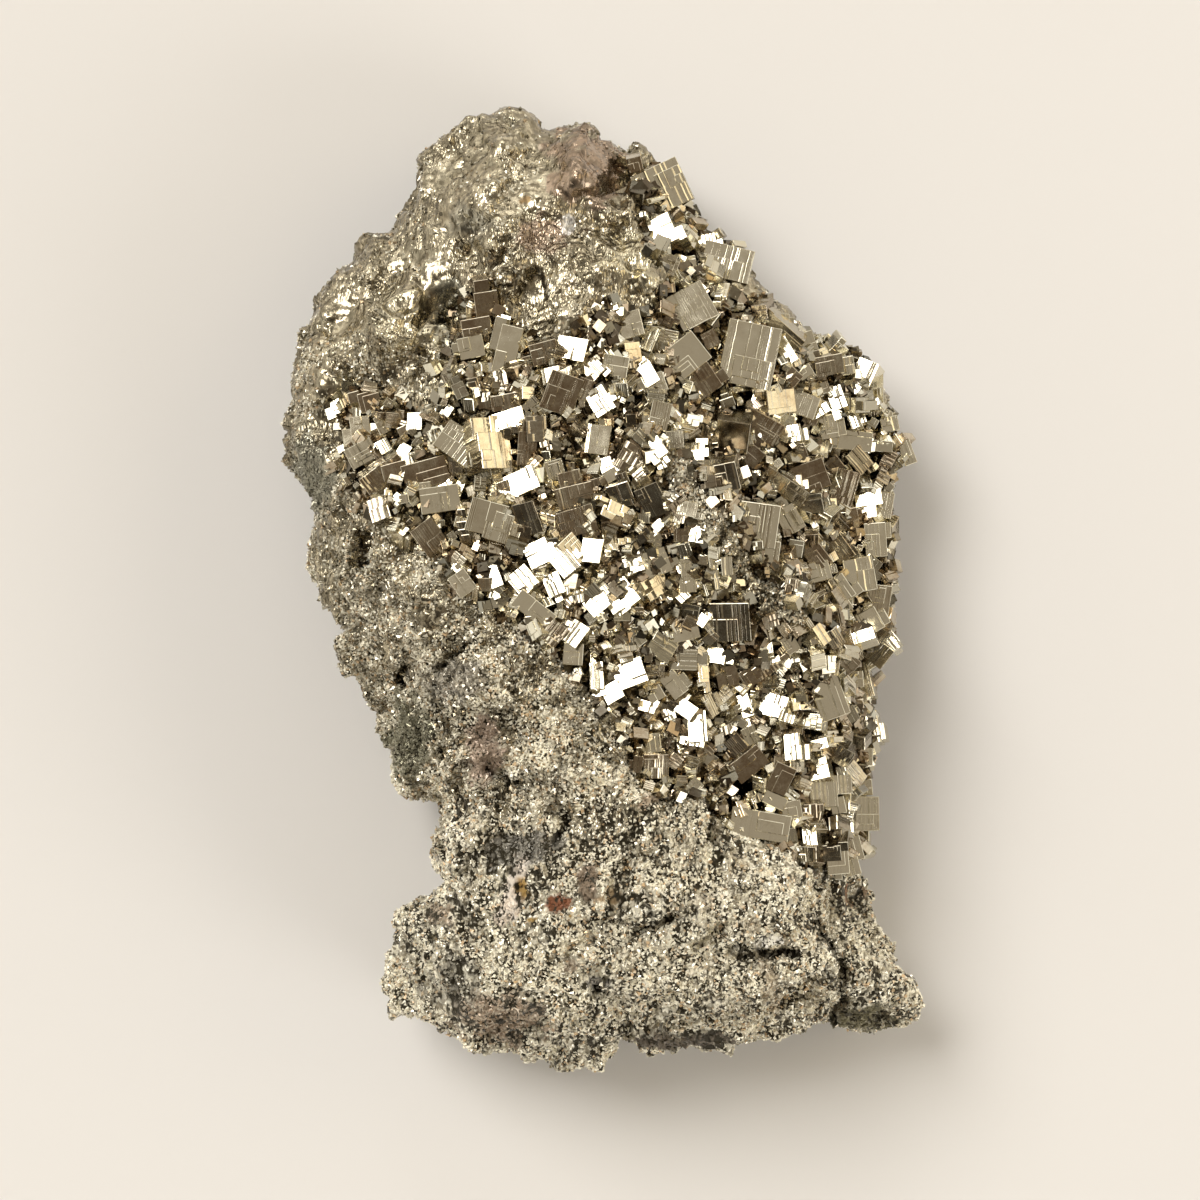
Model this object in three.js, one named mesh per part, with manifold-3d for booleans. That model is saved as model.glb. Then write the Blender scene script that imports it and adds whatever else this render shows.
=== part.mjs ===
// Pyrite specimen: cube crystals grown out of one lump of granular pyrite, lying on its flat back.
// Millimetres, +Z up. The origin is the middle of the footprint, on the surface the specimen lies on.
import * as THREE from "three";
import Module from "manifold-3d";
import { mergeVertices } from "three/addons/utils/BufferGeometryUtils.js";

const wasm = await Module();
wasm.setup();

// Driving dimensions
const specimenLength = 142.5;
const lumpThickness = 45;
const rimHeight = 16;
const rimRounding = 7;
const eyeHeight = 600;
const rimWaves = { broad: 2.4, alongColumns: 0.021, alongRows: 0.017, fine: 1.2, fineAlongRows: 0.043 };

// The plan is drawn in points of a straight-down view, columns to the right and rows downwards.
// What stands higher than the rim looks bigger from above, so it is drawn in by its height.
const viewLength = 951;
const viewMiddle = { column: 599, row: 582 };
const pointSize = specimenLength / viewLength;

// The outline of the lump, clockwise from its upper left shoulder
const outline = [
  [328, 282], [336, 268], [349, 264], [359, 251], [366, 240], [392, 237], [401, 228], [414, 207], [419, 185],
  [420, 162], [427, 152], [438, 144], [456, 130], [468, 118], [490, 116], [506, 107], [520, 110], [535, 120],
  [536, 136], [552, 137], [562, 129], [580, 126], [591, 128], [600, 140], [612, 135], [622, 144], [640, 148],
  [654, 162], [680, 182], [686, 205], [700, 222], [712, 245], [740, 252], [750, 272], [764, 296], [786, 310],
  [798, 330], [816, 342], [850, 348], [866, 370], [880, 395], [892, 415], [896, 440], [898, 470], [890, 500],
  [889, 540], [884, 570], [892, 600], [892, 640], [870, 662], [862, 690], [866, 720], [866, 745], [862, 770],
  [862, 800], [868, 820], [861, 840], [856, 880], [865, 906], [879, 925], [898, 947], [908, 972], [916, 1000],
  [913, 1014], [896, 1018], [884, 1027], [851, 1030], [834, 1021], [816, 1019], [806, 1025], [782, 1033],
  [745, 1042], [716, 1049], [680, 1048], [648, 1046], [637, 1036], [624, 1027], [615, 1042], [611, 1056],
  [590, 1058], [567, 1057], [534, 1053], [516, 1046], [498, 1050], [475, 1044], [459, 1032], [436, 1025],
  [413, 1014], [390, 1002], [382, 991], [386, 978], [391, 960], [394, 930], [401, 917], [415, 908], [440, 889],
  [447, 884], [439, 870], [435, 848], [446, 822], [447, 804], [438, 793], [420, 791], [406, 788], [397, 784],
  [383, 750], [377, 729], [380, 718], [366, 689], [359, 673], [350, 666], [351, 650], [352, 632], [341, 621],
  [336, 606], [323, 603], [320, 590], [317, 572], [309, 569], [307, 549], [309, 538], [321, 529], [315, 503],
  [306, 492], [292, 462], [281, 447], [282, 425], [293, 406], [290, 385], [296, 362], [301, 337], [310, 318],
  [326, 299],
];

// The spine that the rings of the lump close in on, from the head to the foot
const spine = [[500, 260], [530, 400], [580, 560], [610, 700], [630, 820], [640, 930]];

// Flat breaks across the lump: a point of the plane, the lean and direction of its outward side in degrees,
// and how far the break reaches in millimetres, fading over its outer half
const breaks = [
  { at: [309, 512, 20], lean: 60, towards: 190, reach: 40 },
  { at: [366, 680, 21], lean: 56, towards: 208, reach: 34 },
  { at: [289, 402, 17], lean: 64, towards: 175, reach: 30 },
  { at: [402, 975, 21], lean: 54, towards: 205, reach: 30 },
  { at: [505, 1040, 22], lean: 66, towards: 258, reach: 34 },
  { at: [710, 1040, 22], lean: 62, towards: 275, reach: 36 },
  { at: [870, 1012, 19], lean: 50, towards: 288, reach: 26 },
  { at: [890, 950, 20], lean: 58, towards: 25, reach: 30 },
  { at: [440, 160, 19], lean: 50, towards: 140, reach: 28 },
  { at: [560, 121, 19], lean: 56, towards: 85, reach: 28 },
  { at: [672, 190, 18], lean: 58, towards: 48, reach: 26 },
  { at: [890, 470, 14], lean: 62, towards: 8, reach: 34 },
  { at: [862, 760, 18], lean: 64, towards: 352, reach: 34 },
  { at: [330, 470, 5], lean: 118, towards: 190, reach: 40 },
  { at: [600, 1030, 5], lean: 120, towards: 268, reach: 44 },
  { at: [872, 600, 5], lean: 116, towards: 4, reach: 44 },
  { at: [520, 150, 5], lean: 122, towards: 95, reach: 40 },
  { at: [400, 950, 6], lean: 124, towards: 205, reach: 34 },
];

// How far each ring lies between the spine at 0 and the outline at 1. Notches in the outline fade away
// towards the spine.
const fadeFrom = 0.9;
const topRings = [0.97, 0.92, 0.84, 0.73, 0.58, 0.4, 0.2];
const underRings = [{ reach: 0.965, rise: 0.55 }, { reach: 0.91, rise: 0.2 }, { reach: 0.84, rise: 0 }];

// Heights of the top: column, row, and height where the highest counts as tallest. Each holds over about
// the softness, in points.
const tallest = 51;
const softness = 15;
const heights = [
  [430, 960, 40], [460, 1000, 40], [520, 930, 46], [560, 1000, 44], [620, 900, 49], [680, 960, 48],
  [760, 900, 47], [700, 1010, 44], [800, 980, 43], [860, 960, 37], [895, 1000, 31], [850, 915, 39],
  [560, 840, 50], [480, 860, 45], [640, 830, 50], [470, 760, 47], [420, 740, 41], [550, 740, 51],
  [500, 680, 49], [420, 660, 44], [380, 640, 37], [450, 600, 47], [380, 570, 41], [330, 560, 31],
  [340, 500, 35], [400, 500, 43], [560, 600, 48], [620, 660, 47], [520, 520, 46], [600, 520, 46],
  [680, 600, 45], [700, 700, 43], [760, 760, 41], [780, 820, 41], [840, 800, 34], [850, 720, 32],
  [800, 690, 36], [740, 680, 40], [655, 440, 47], [700, 490, 49], [740, 545, 49], [790, 600, 48],
  [825, 635, 43], [720, 420, 36], [760, 380, 32], [780, 460, 32], [820, 400, 26], [850, 450, 23],
  [800, 520, 31], [850, 560, 24], [780, 540, 33], [830, 590, 29], [870, 610, 23], [870, 500, 21],
  [560, 440, 44], [500, 460, 43], [440, 460, 40], [370, 450, 35], [320, 440, 27], [330, 390, 28],
  [380, 350, 34], [470, 400, 42], [470, 330, 38], [440, 320, 29], [400, 330, 34], [560, 380, 44],
  [620, 400, 44], [660, 360, 39], [600, 320, 42], [640, 280, 40], [690, 300, 32], [740, 350, 30],
  [700, 250, 25], [570, 280, 40], [520, 280, 36], [540, 220, 36], [480, 200, 34], [460, 160, 28],
  [500, 140, 27], [560, 150, 30], [590, 180, 33], [620, 220, 34], [660, 190, 25], [430, 220, 28],
  [380, 270, 24], [350, 310, 23],
];

// Lumps of the granular part, and hollows with a rise below nought: column, row, radius, rise
const lumps = [
  [395, 320, 42, 3.5], [500, 235, 40, 3], [575, 175, 34, 3], [505, 150, 36, 2.5], [600, 262, 36, 3],
  [648, 275, 28, 2.5], [465, 395, 30, 3], [325, 450, 26, 2.5], [315, 385, 24, 2.5], [345, 560, 34, 2.5],
  [400, 600, 40, 2.2], [470, 690, 46, 2.4], [405, 745, 32, 3.2], [560, 770, 60, 2.2], [470, 830, 34, 2.6],
  [430, 940, 42, 3], [560, 950, 52, 2.2], [660, 900, 48, 2], [600, 890, 24, 2.4], [760, 985, 52, 2.2],
  [870, 975, 40, 3.2], [790, 900, 44, 2], [520, 1020, 46, 1.8], [668, 1012, 36, 2.2], [455, 320, 20, -5],
  [619, 185, 18, -6], [598, 992, 16, -3], [500, 895, 20, -1.6], [620, 1000, 22, -3], [465, 250, 12, -2.5],
];

// Cracks, cavities and pits that are cut in: column, row, length, width, turn and depth in millimetres.
// Each cutting block stands cutAbove over the surface.
const cutAbove = 6;
const cuts = [
  { at: [746, 951], length: 4, width: 1.4, turn: -12, depth: 5 },
  { at: [768, 957], length: 6.6, width: 2.2, turn: 4, depth: 7 },
  { at: [830, 947], length: 8.2, width: 0.8, turn: -58, depth: 5 },
  { at: [843, 985], length: 5.4, width: 0.9, turn: -88, depth: 6 },
  { at: [838, 1008], length: 3.6, width: 0.9, turn: 60, depth: 6 },
  { at: [363, 550], length: 3.2, width: 1.3, turn: 78, depth: 5 },
  { at: [618, 184], length: 4.6, width: 3.4, turn: 60, depth: 5 },
  { at: [742, 797], length: 3.6, width: 3.4, turn: 8, depth: 6 },
];

// Crystals, by how their faces look: column, row, width, height and turn of the face.
// A face that looks bright leans towards the light, a brown or black one leans away from it.
const crystals = {
  bright: [
    [516, 484, 44, 26, 22], [591, 551, 22, 25, -8], [560, 558, 22, 42, 40], [537, 553, 26, 26, 25],
    [522, 580, 24, 28, 40], [553, 585, 18, 24, 25], [575, 634, 20, 25, -35], [596, 604, 22, 20, 40],
    [626, 592, 15, 30, 37], [632, 563, 20, 22, 20], [697, 530, 15, 26, -8], [621, 467, 22, 15, -30],
    [691, 449, 26, 14, -2], [697, 461, 14, 24, 4], [713, 655, 25, 17, -10], [753, 655, 40, 15, 14],
    [769, 704, 34, 24, -17], [792, 747, 17, 27, 5], [817, 769, 22, 21, 12], [809, 836, 15, 22, 8],
    [596, 676, 14, 28, 5], [629, 674, 32, 26, 20], [612, 693, 20, 20, 28], [682, 707, 30, 16, -35],
    [697, 727, 19, 32, 5], [863, 375, 22, 32, -24], [785, 350, 14, 30, 30], [836, 397, 16, 24, 20],
    [649, 338, 14, 26, -20], [645, 376, 22, 24, 30], [599, 401, 22, 30, 32],
    [570, 348, 32, 24, -12], [507, 419, 34, 20, 15], [551, 376, 20, 17, 10], [378, 448, 24, 15, 28],
    [865, 502, 20, 32, 8], [662, 230, 24, 30, 24], [705, 242, 22, 16, 10],
  ],
  tan: [
    [440, 500, 40, 26, 8], [487, 519, 38, 34, -15], [498, 528, 26, 30, -17], [462, 584, 20, 24, 35],
    [534, 611, 44, 19, -38], [573, 655, 20, 22, -4], [655, 564, 30, 26, 20], [696, 570, 30, 22, 5],
    [758, 526, 40, 44, -8], [827, 691, 30, 58, 20], [865, 814, 30, 34, 0], [760, 826, 60, 28, -10],
    [822, 795, 33, 26, 4], [792, 811, 20, 18, 10], [662, 188, 50, 46, 25], [692, 306, 40, 40, 28],
    [686, 357, 40, 34, 38], [750, 355, 54, 64, -12], [654, 385, 24, 20, 20],
    [660, 418, 20, 30, -12], [598, 440, 24, 30, -8], [630, 325, 24, 26, 15],
    [615, 367, 26, 22, -10], [505, 360, 22, 68, -14], [471, 348, 26, 22, 12],
    [459, 444, 42, 32, -35], [360, 427, 20, 22, 8], [361, 454, 30, 22, 28], [672, 683, 18, 32, 38],
    [850, 858, 15, 38, 15], [838, 862, 22, 26, 5], [848, 440, 50, 20, -6], [829, 427, 18, 24, 10],
    [808, 345, 18, 26, 20], [727, 262, 50, 34, -14], [803, 404, 30, 24, -20],
    [860, 575, 30, 34, 10], [878, 600, 26, 30, -8], [876, 540, 22, 34, 4], [790, 520, 22, 28, 30],
    [885, 505, 16, 26, -10], [818, 572, 26, 20, 15], [840, 590, 22, 26, 35], [870, 622, 22, 24, 30],
  ],
  brown: [
    [380, 483, 32, 28, 36], [426, 475, 46, 28, 15], [434, 543, 26, 44, 37], [576, 498, 38, 24, 14],
    [577, 523, 38, 28, 16], [553, 634, 24, 24, -38], [728, 679, 22, 24, 12], [755, 676, 30, 20, 35],
    [781, 780, 22, 30, -25], [750, 766, 36, 24, 38], [657, 768, 26, 24, 0], [848, 662, 24, 18, -45],
    [635, 457, 30, 20, -30], [528, 450, 20, 34, -5], [477, 328, 30, 18, 10], [487, 305, 24, 26, 8],
    [545, 354, 28, 22, 15], [505, 403, 28, 16, 10], [562, 395, 34, 40, -20],
    [761, 428, 44, 24, -30], [702, 383, 32, 30, 35], [830, 366, 30, 20, 10], [815, 555, 20, 34, 37],
    [370, 402, 22, 20, 15], [811, 478, 34, 30, 20], [845, 488, 24, 36, -15],
  ],
  dark: [
    [527, 520, 24, 34, 17], [621, 497, 24, 26, 20], [652, 503, 26, 34, 25], [730, 624, 40, 42, 3],
    [876, 654, 26, 24, -38], [840, 757, 24, 20, -30], [803, 856, 26, 16, 0], [830, 856, 22, 18, 5],
    [808, 506, 30, 20, 10], [825, 608, 28, 22, 30], [783, 333, 14, 46, 48], [732, 438, 34, 34, -8],
    [466, 535, 16, 26, 10], [784, 488, 50, 18, -35], [836, 545, 20, 40, 35], [725, 480, 26, 30, 12],
  ],
  gold: [
    [497, 450, 36, 38, 6], [572, 548, 22, 22, 40], [661, 585, 20, 20, 32], [613, 541, 16, 20, 5],
    [713, 706, 14, 24, 28], [854, 777, 25, 25, 45], [782, 402, 34, 24, 8], [840, 589, 14, 26, 35],
  ],
};

// The lean of a face and the direction it leans to, in degrees anticlockwise from the right
const leans = {
  bright: { lean: 19, towards: 135, spread: 10 },
  tan: { lean: 5, towards: 60, spread: 180 },
  brown: { lean: 15, towards: 300, spread: 25 },
  dark: { lean: 24, towards: 235, spread: 20 },
  gold: { lean: 30, towards: 20, spread: 20 },
};
const leanSpread = 3;

// How far a face lies above its ground and how deep the block goes: in millimetres, and as shares of its
// narrow side
const growth = { leastProud: 0.6, proudShare: 0.3, depthShare: 0.95, leastRoot: 2.4 };

// Where crystals grow, and the granular ridge between the two fields
const crystalFields = [
  [[335, 395], [372, 385], [400, 392], [430, 430], [440, 400], [455, 300], [480, 285], [520, 330], [560, 345],
    [600, 300], [640, 320], [672, 275], [715, 290], [760, 300], [800, 330], [850, 345], [890, 420], [905, 450],
    [890, 500], [890, 640], [870, 690], [872, 790], [870, 830], [858, 870], [800, 870], [790, 850], [730, 830],
    [700, 800], [640, 790], [620, 735], [600, 710], [570, 670], [545, 650], [520, 630], [480, 600], [455, 590],
    [450, 570], [400, 530], [355, 500], [340, 470]],
  [[632, 160], [690, 184], [698, 220], [742, 250], [740, 275], [700, 285], [650, 260], [640, 215]],
];
const ridge = [
  [655, 440], [690, 460], [712, 500], [740, 545], [790, 600], [835, 640], [800, 640], [745, 600], [725, 560],
  [690, 520], [660, 470],
];

// Crystals sown into the gaps between the placed ones
const sown = { seed: 11, attempts: 400, smallest: 16, largest: 24, lean: 34, spacing: 0.5, uneven: 0.3 };

// Slivers smaller than this, in millimetres, are smoothed out of the finished solid
const sliver = 0.02;

const degrees = Math.PI / 180;
const lerp = THREE.MathUtils.lerp;

// Numbers from 0 to 1 that are the same on every run
function seededRandom(seed) {
  let state = seed;
  return () => {
    state = (state + 0x6d2b79f5) | 0;
    let mixed = Math.imul(state ^ (state >>> 15), 1 | state);
    mixed = (mixed + Math.imul(mixed ^ (mixed >>> 7), 61 | mixed)) ^ mixed;
    return ((mixed ^ (mixed >>> 14)) >>> 0) / 4294967296;
  };
}

function isInside(column, row, polygon) {
  let inside = false;
  polygon.forEach(([c1, r1], index) => {
    const [c0, r0] = polygon[(index + polygon.length - 1) % polygon.length];
    const crosses = r1 > row !== r0 > row;
    if (crosses && column < ((c0 - c1) * (row - r1)) / (r0 - r1) + c1) {
      inside = !inside;
    }
  });
  return inside;
}

// Millimetres from a place to the outline, 0 outside it
function insetAt(column, row) {
  if (!isInside(column, row, outline)) {
    return 0;
  }
  let nearest = Infinity;
  outline.forEach(([c1, r1], index) => {
    const [c0, r0] = outline[(index + outline.length - 1) % outline.length];
    const along = ((column - c0) * (c1 - c0) + (row - r0) * (r1 - r0)) / ((c1 - c0) ** 2 + (r1 - r0) ** 2);
    const t = THREE.MathUtils.clamp(along, 0, 1);
    nearest = Math.min(nearest, Math.hypot(column - lerp(c0, c1, t), row - lerp(r0, r1, t)));
  });
  return nearest * pointSize;
}

// Height of the top away from the rim: the listed heights blended, with the lumps added
function groundAt(column, row) {
  let total = 0;
  let weights = 0;
  for (const [c, r, height] of heights) {
    const weight = ((column - c) ** 2 + (row - r) ** 2 + softness ** 2) ** -2;
    total += weight * height;
    weights += weight;
  }
  let ground = (total / weights) * (lumpThickness / tallest);
  for (const [c, r, radius, rise] of lumps) {
    const near = 1 - ((column - c) ** 2 + (row - r) ** 2) / radius ** 2;
    ground += near > 0 ? rise * near ** 2 : 0;
  }
  return ground;
}

// The rim wanders up and down a little round the lump
function rimAt(column, row) {
  const { broad, alongColumns, alongRows, fine, fineAlongRows } = rimWaves;
  const wave = broad * Math.sin(column * alongColumns) * Math.cos(row * alongRows);
  return rimHeight + wave + fine * Math.sin(row * fineAlongRows);
}

// Height of the surface, rolled over near the rim
function surfaceAt(column, row) {
  const rolled = Math.min(1, insetAt(column, row) / rimRounding);
  const rim = rimAt(column, row);
  return rim + (groundAt(column, row) - rim) * Math.sqrt(1 - (1 - rolled) ** 2);
}

function drawnIn(height) {
  return (eyeHeight - height) / (eyeHeight - rimHeight);
}

// A place in the view, at a height, as a point of the specimen
function pointAt(column, row, height) {
  const scale = pointSize * drawnIn(height);
  return [(column - viewMiddle.column) * scale, (viewMiddle.row - row) * scale, height];
}

function toSolid(geometry) {
  geometry.deleteAttribute("normal");
  geometry.deleteAttribute("uv");
  const merged = mergeVertices(geometry);
  const vertProperties = new Float32Array(merged.attributes.position.array);
  return new wasm.Manifold(
    new wasm.Mesh({ numProp: 3, vertProperties, triVerts: new Uint32Array(merged.index.array) }),
  );
}

function toGeometry(solid) {
  const mesh = solid.getMesh();
  const geometry = new THREE.BufferGeometry();
  geometry.setAttribute("position", new THREE.BufferAttribute(new Float32Array(mesh.vertProperties), 3));
  geometry.setIndex(new THREE.BufferAttribute(new Uint32Array(mesh.triVerts), 1));
  geometry.computeVertexNormals();
  return geometry;
}

// Moves a point that stands outside a flat break onto it, and leaves the flat back alone
function broken(point) {
  if (point[2] === 0) {
    return point;
  }
  const moved = new THREE.Vector3(...point);
  for (const { at, lean, towards, reach } of breaks) {
    const level = Math.sin(lean * degrees);
    const outward = new THREE.Vector3(
      level * Math.cos(towards * degrees),
      level * Math.sin(towards * degrees),
      Math.cos(lean * degrees),
    );
    const away = moved.clone().sub(new THREE.Vector3(...pointAt(...at)));
    const fade = THREE.MathUtils.clamp(2 - (2 * away.length()) / reach, 0, 1);
    moved.addScaledVector(outward, -fade * Math.max(0, away.dot(outward)));
  }
  return moved.toArray();
}

// The outline with its notches and corners averaged away over its neighbours
function smoothOutline() {
  const span = 3;
  return outline.map((_, index) => {
    let column = 0;
    let row = 0;
    for (let step = -span; step <= span; step += 1) {
      const [c, r] = outline[(index + step + outline.length) % outline.length];
      column += c / (2 * span + 1);
      row += r / (2 * span + 1);
    }
    return [column, row];
  });
}

// The lump: rings of the outline that close in on the spine, over the top and under the back
function makeLump() {
  const positions = [];
  const faces = [];
  const nodes = outline.map(([, row]) => {
    const gaps = spine.map(([, nodeRow]) => Math.abs(nodeRow - row));
    return gaps.indexOf(Math.min(...gaps));
  });
  const smoothed = smoothOutline();

  function addRing(reach, heightAt) {
    const first = positions.length;
    const detail = THREE.MathUtils.clamp((reach - fadeFrom) / (1 - fadeFrom), 0, 1);
    outline.forEach(([column, row], index) => {
      const [nodeColumn, nodeRow] = spine[nodes[index]];
      const c = lerp(nodeColumn, lerp(smoothed[index][0], column, detail), reach);
      const r = lerp(nodeRow, lerp(smoothed[index][1], row, detail), reach);
      positions.push(broken(pointAt(c, r, heightAt(c, r))));
    });
    return first;
  }

  function addSpine(heightAt) {
    const first = positions.length;
    spine.forEach(([column, row]) => positions.push(pointAt(column, row, heightAt(column, row))));
    return first;
  }

  function joinRings(outer, inner, upwards) {
    outline.forEach((_, index) => {
      const next = (index + 1) % outline.length;
      addFace([outer + index, outer + next, inner + next], upwards);
      addFace([outer + index, inner + next, inner + index], upwards);
    });
  }

  function joinSpine(ring, first, upwards) {
    outline.forEach((_, index) => {
      const next = (index + 1) % outline.length;
      addFace([ring + index, ring + next, first + nodes[next]], upwards);
      if (nodes[index] !== nodes[next]) {
        addFace([ring + index, first + nodes[next], first + nodes[index]], upwards);
      }
    });
  }

  // The outline runs clockwise seen from above
  function addFace([a, b, c], upwards) {
    faces.push(...(upwards ? [a, c, b] : [a, b, c]));
  }

  const rim = addRing(1, rimAt);
  let ring = rim;
  for (const reach of topRings) {
    const inner = addRing(reach, surfaceAt);
    joinRings(ring, inner, true);
    ring = inner;
  }
  joinSpine(ring, addSpine(surfaceAt), true);

  ring = rim;
  for (const { reach, rise } of underRings) {
    const inner = addRing(reach, (column, row) => rise * rimAt(column, row));
    joinRings(ring, inner, false);
    ring = inner;
  }
  joinSpine(ring, addSpine(() => 0), false);

  const geometry = new THREE.BufferGeometry();
  geometry.setAttribute("position", new THREE.Float32BufferAttribute(positions.flat(), 3));
  geometry.setIndex(faces);
  return toSolid(geometry);
}

function makeCut({ at, length, width, turn, depth }) {
  const surface = surfaceAt(...at);
  const box = new THREE.BoxGeometry(length, width, depth + cutAbove);
  box.translate(0, 0, (cutAbove - depth) / 2);
  box.rotateZ(turn * degrees);
  box.translate(...pointAt(...at, surface));
  return toSolid(box);
}

// A crystal is a block whose outer face lies a little above the ground it grew from
function makeCrystal({ column, row, width, height, turn, lean, towards }) {
  const narrow = Math.min(width, height) * pointSize;
  const proud = growth.leastProud + growth.proudShare * narrow;
  const thickness = Math.max(growth.depthShare * narrow, proud + growth.leastRoot);
  const top = surfaceAt(column, row) + proud;
  const scale = pointSize * drawnIn(top);
  const block = new THREE.BoxGeometry(width * scale, height * scale, thickness);
  block.translate(0, 0, -thickness / 2);
  block.rotateZ((turn - towards) * degrees);
  block.rotateY(lean * degrees);
  block.rotateZ(towards * degrees);
  block.translate(...pointAt(column, row, top));
  return toSolid(block);
}

function placedCrystals() {
  const placed = [];
  for (const [look, faces] of Object.entries(crystals)) {
    const { lean, towards, spread } = leans[look];
    faces.forEach(([column, row, width, height, turn]) => {
      const wander = Math.sin(column * 2.4 + row);
      placed.push({
        column, row, width, height, turn,
        lean: lean + leanSpread * Math.cos(column + row * 1.7),
        towards: towards + spread * wander,
      });
    });
  }
  return placed;
}

function sownCrystals(placed) {
  const random = seededRandom(sown.seed);
  const found = [];
  const columns = crystalFields.flat().map(([column]) => column);
  const rows = crystalFields.flat().map(([, row]) => row);
  for (let attempt = 0; attempt < sown.attempts; attempt += 1) {
    const column = lerp(Math.min(...columns), Math.max(...columns), random());
    const row = lerp(Math.min(...rows), Math.max(...rows), random());
    const width = lerp(sown.smallest, sown.largest, random() ** 2);
    const height = width * lerp(1 - sown.uneven, 1 + sown.uneven, random());
    const turn = 90 * random();
    const lean = sown.lean * Math.sqrt(random());
    const towards = 360 * random();
    const inField = crystalFields.some((field) => isInside(column, row, field));
    const grows = inField && !isInside(column, row, ridge);
    const crowded = placed.concat(found).some((other) => {
      const room = sown.spacing * (Math.min(other.width, other.height) + width);
      return Math.hypot(other.column - column, other.row - row) < room;
    });
    if (grows && !crowded) {
      found.push({ column, row, width, height, turn, lean, towards });
    }
  }
  return found;
}

function makeSpecimen() {
  let solid = makeLump();
  for (const cut of cuts) {
    solid = solid.subtract(makeCut(cut));
  }
  const placed = placedCrystals();
  for (const crystal of [...placed, ...sownCrystals(placed)]) {
    solid = solid.add(makeCrystal(crystal));
  }
  // Gaps closed in between crystals come apart as bodies of their own, and only the outside is kept
  const bodies = solid.simplify(sliver).decompose();
  return bodies.reduce((largest, body) => (body.volume() > largest.volume() ? body : largest));
}

const pyrite = new THREE.MeshStandardMaterial({ color: 0xa59a7c, roughness: 0.35, metalness: 1 });
const specimen = new THREE.Mesh(toGeometry(makeSpecimen()), pyrite);
specimen.name = "pyrite_specimen";

const group = new THREE.Group();
group.add(specimen);
export default group;
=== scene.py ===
import math

import bpy
import numpy as np
from mathutils import Matrix, Vector, noise


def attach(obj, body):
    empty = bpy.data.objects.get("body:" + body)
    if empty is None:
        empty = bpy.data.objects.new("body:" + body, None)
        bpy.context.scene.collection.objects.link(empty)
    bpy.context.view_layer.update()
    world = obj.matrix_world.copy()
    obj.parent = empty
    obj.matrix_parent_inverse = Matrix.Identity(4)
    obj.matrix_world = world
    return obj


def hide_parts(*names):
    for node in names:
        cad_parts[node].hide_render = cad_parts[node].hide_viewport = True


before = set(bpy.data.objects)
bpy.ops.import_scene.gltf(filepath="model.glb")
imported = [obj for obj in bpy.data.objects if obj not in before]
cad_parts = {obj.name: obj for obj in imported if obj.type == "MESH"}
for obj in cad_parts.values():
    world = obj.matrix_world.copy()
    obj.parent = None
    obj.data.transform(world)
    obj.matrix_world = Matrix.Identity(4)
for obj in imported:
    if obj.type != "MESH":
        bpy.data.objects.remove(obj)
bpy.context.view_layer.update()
mm = 0.001

# The plan of the specimen, drawn in points of a straight-down view: columns to the right, rows downwards
plan = {
    "specimenLength": 142.5,  # millimetres from head to foot
    "lumpThickness": 45,
    "rimHeight": 16,
    "rimRounding": 7,
    "eyeHeight": 600,
    "viewLength": 951,  # the same length in points
    "viewMiddle": (599, 582),
    "tallest": 51,  # the height that counts as lumpThickness in the list of heights
    "softness": 15,
    "fadeFrom": 0.9,  # rings nearer the spine than this have no notches
}
pointSize = plan["specimenLength"] / plan["viewLength"]

# The outline of the lump, clockwise from its upper left shoulder
outline = [
    [328, 282], [336, 268], [349, 264], [359, 251], [366, 240], [392, 237], [401, 228], [414, 207],
    [419, 185], [420, 162], [427, 152], [438, 144], [456, 130], [468, 118], [490, 116], [506, 107],
    [520, 110], [535, 120], [536, 136], [552, 137], [562, 129], [580, 126], [591, 128], [600, 140],
    [612, 135], [622, 144], [640, 148], [654, 162], [680, 182], [686, 205], [700, 222], [712, 245],
    [740, 252], [750, 272], [764, 296], [786, 310], [798, 330], [816, 342], [850, 348], [866, 370],
    [880, 395], [892, 415], [896, 440], [898, 470], [890, 500], [889, 540], [884, 570], [892, 600],
    [892, 640], [870, 662], [862, 690], [866, 720], [866, 745], [862, 770], [862, 800], [868, 820],
    [861, 840], [856, 880], [865, 906], [879, 925], [898, 947], [908, 972], [916, 1000], [913, 1014],
    [896, 1018], [884, 1027], [851, 1030], [834, 1021], [816, 1019], [806, 1025], [782, 1033],
    [745, 1042], [716, 1049], [680, 1048], [648, 1046], [637, 1036], [624, 1027], [615, 1042],
    [611, 1056], [590, 1058], [567, 1057], [534, 1053], [516, 1046], [498, 1050], [475, 1044],
    [459, 1032], [436, 1025], [413, 1014], [390, 1002], [382, 991], [386, 978], [391, 960], [394, 930],
    [401, 917], [415, 908], [440, 889], [447, 884], [439, 870], [435, 848], [446, 822], [447, 804],
    [438, 793], [420, 791], [406, 788], [397, 784], [383, 750], [377, 729], [380, 718], [366, 689],
    [359, 673], [350, 666], [351, 650], [352, 632], [341, 621], [336, 606], [323, 603], [320, 590],
    [317, 572], [309, 569], [307, 549], [309, 538], [321, 529], [315, 503], [306, 492], [292, 462],
    [281, 447], [282, 425], [293, 406], [290, 385], [296, 362], [301, 337], [310, 318], [326, 299],
]
# What the rings of the lump close in on, from the head to the foot
spine = [[500, 260], [530, 400], [580, 560], [610, 700], [630, 820], [640, 930]]
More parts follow.
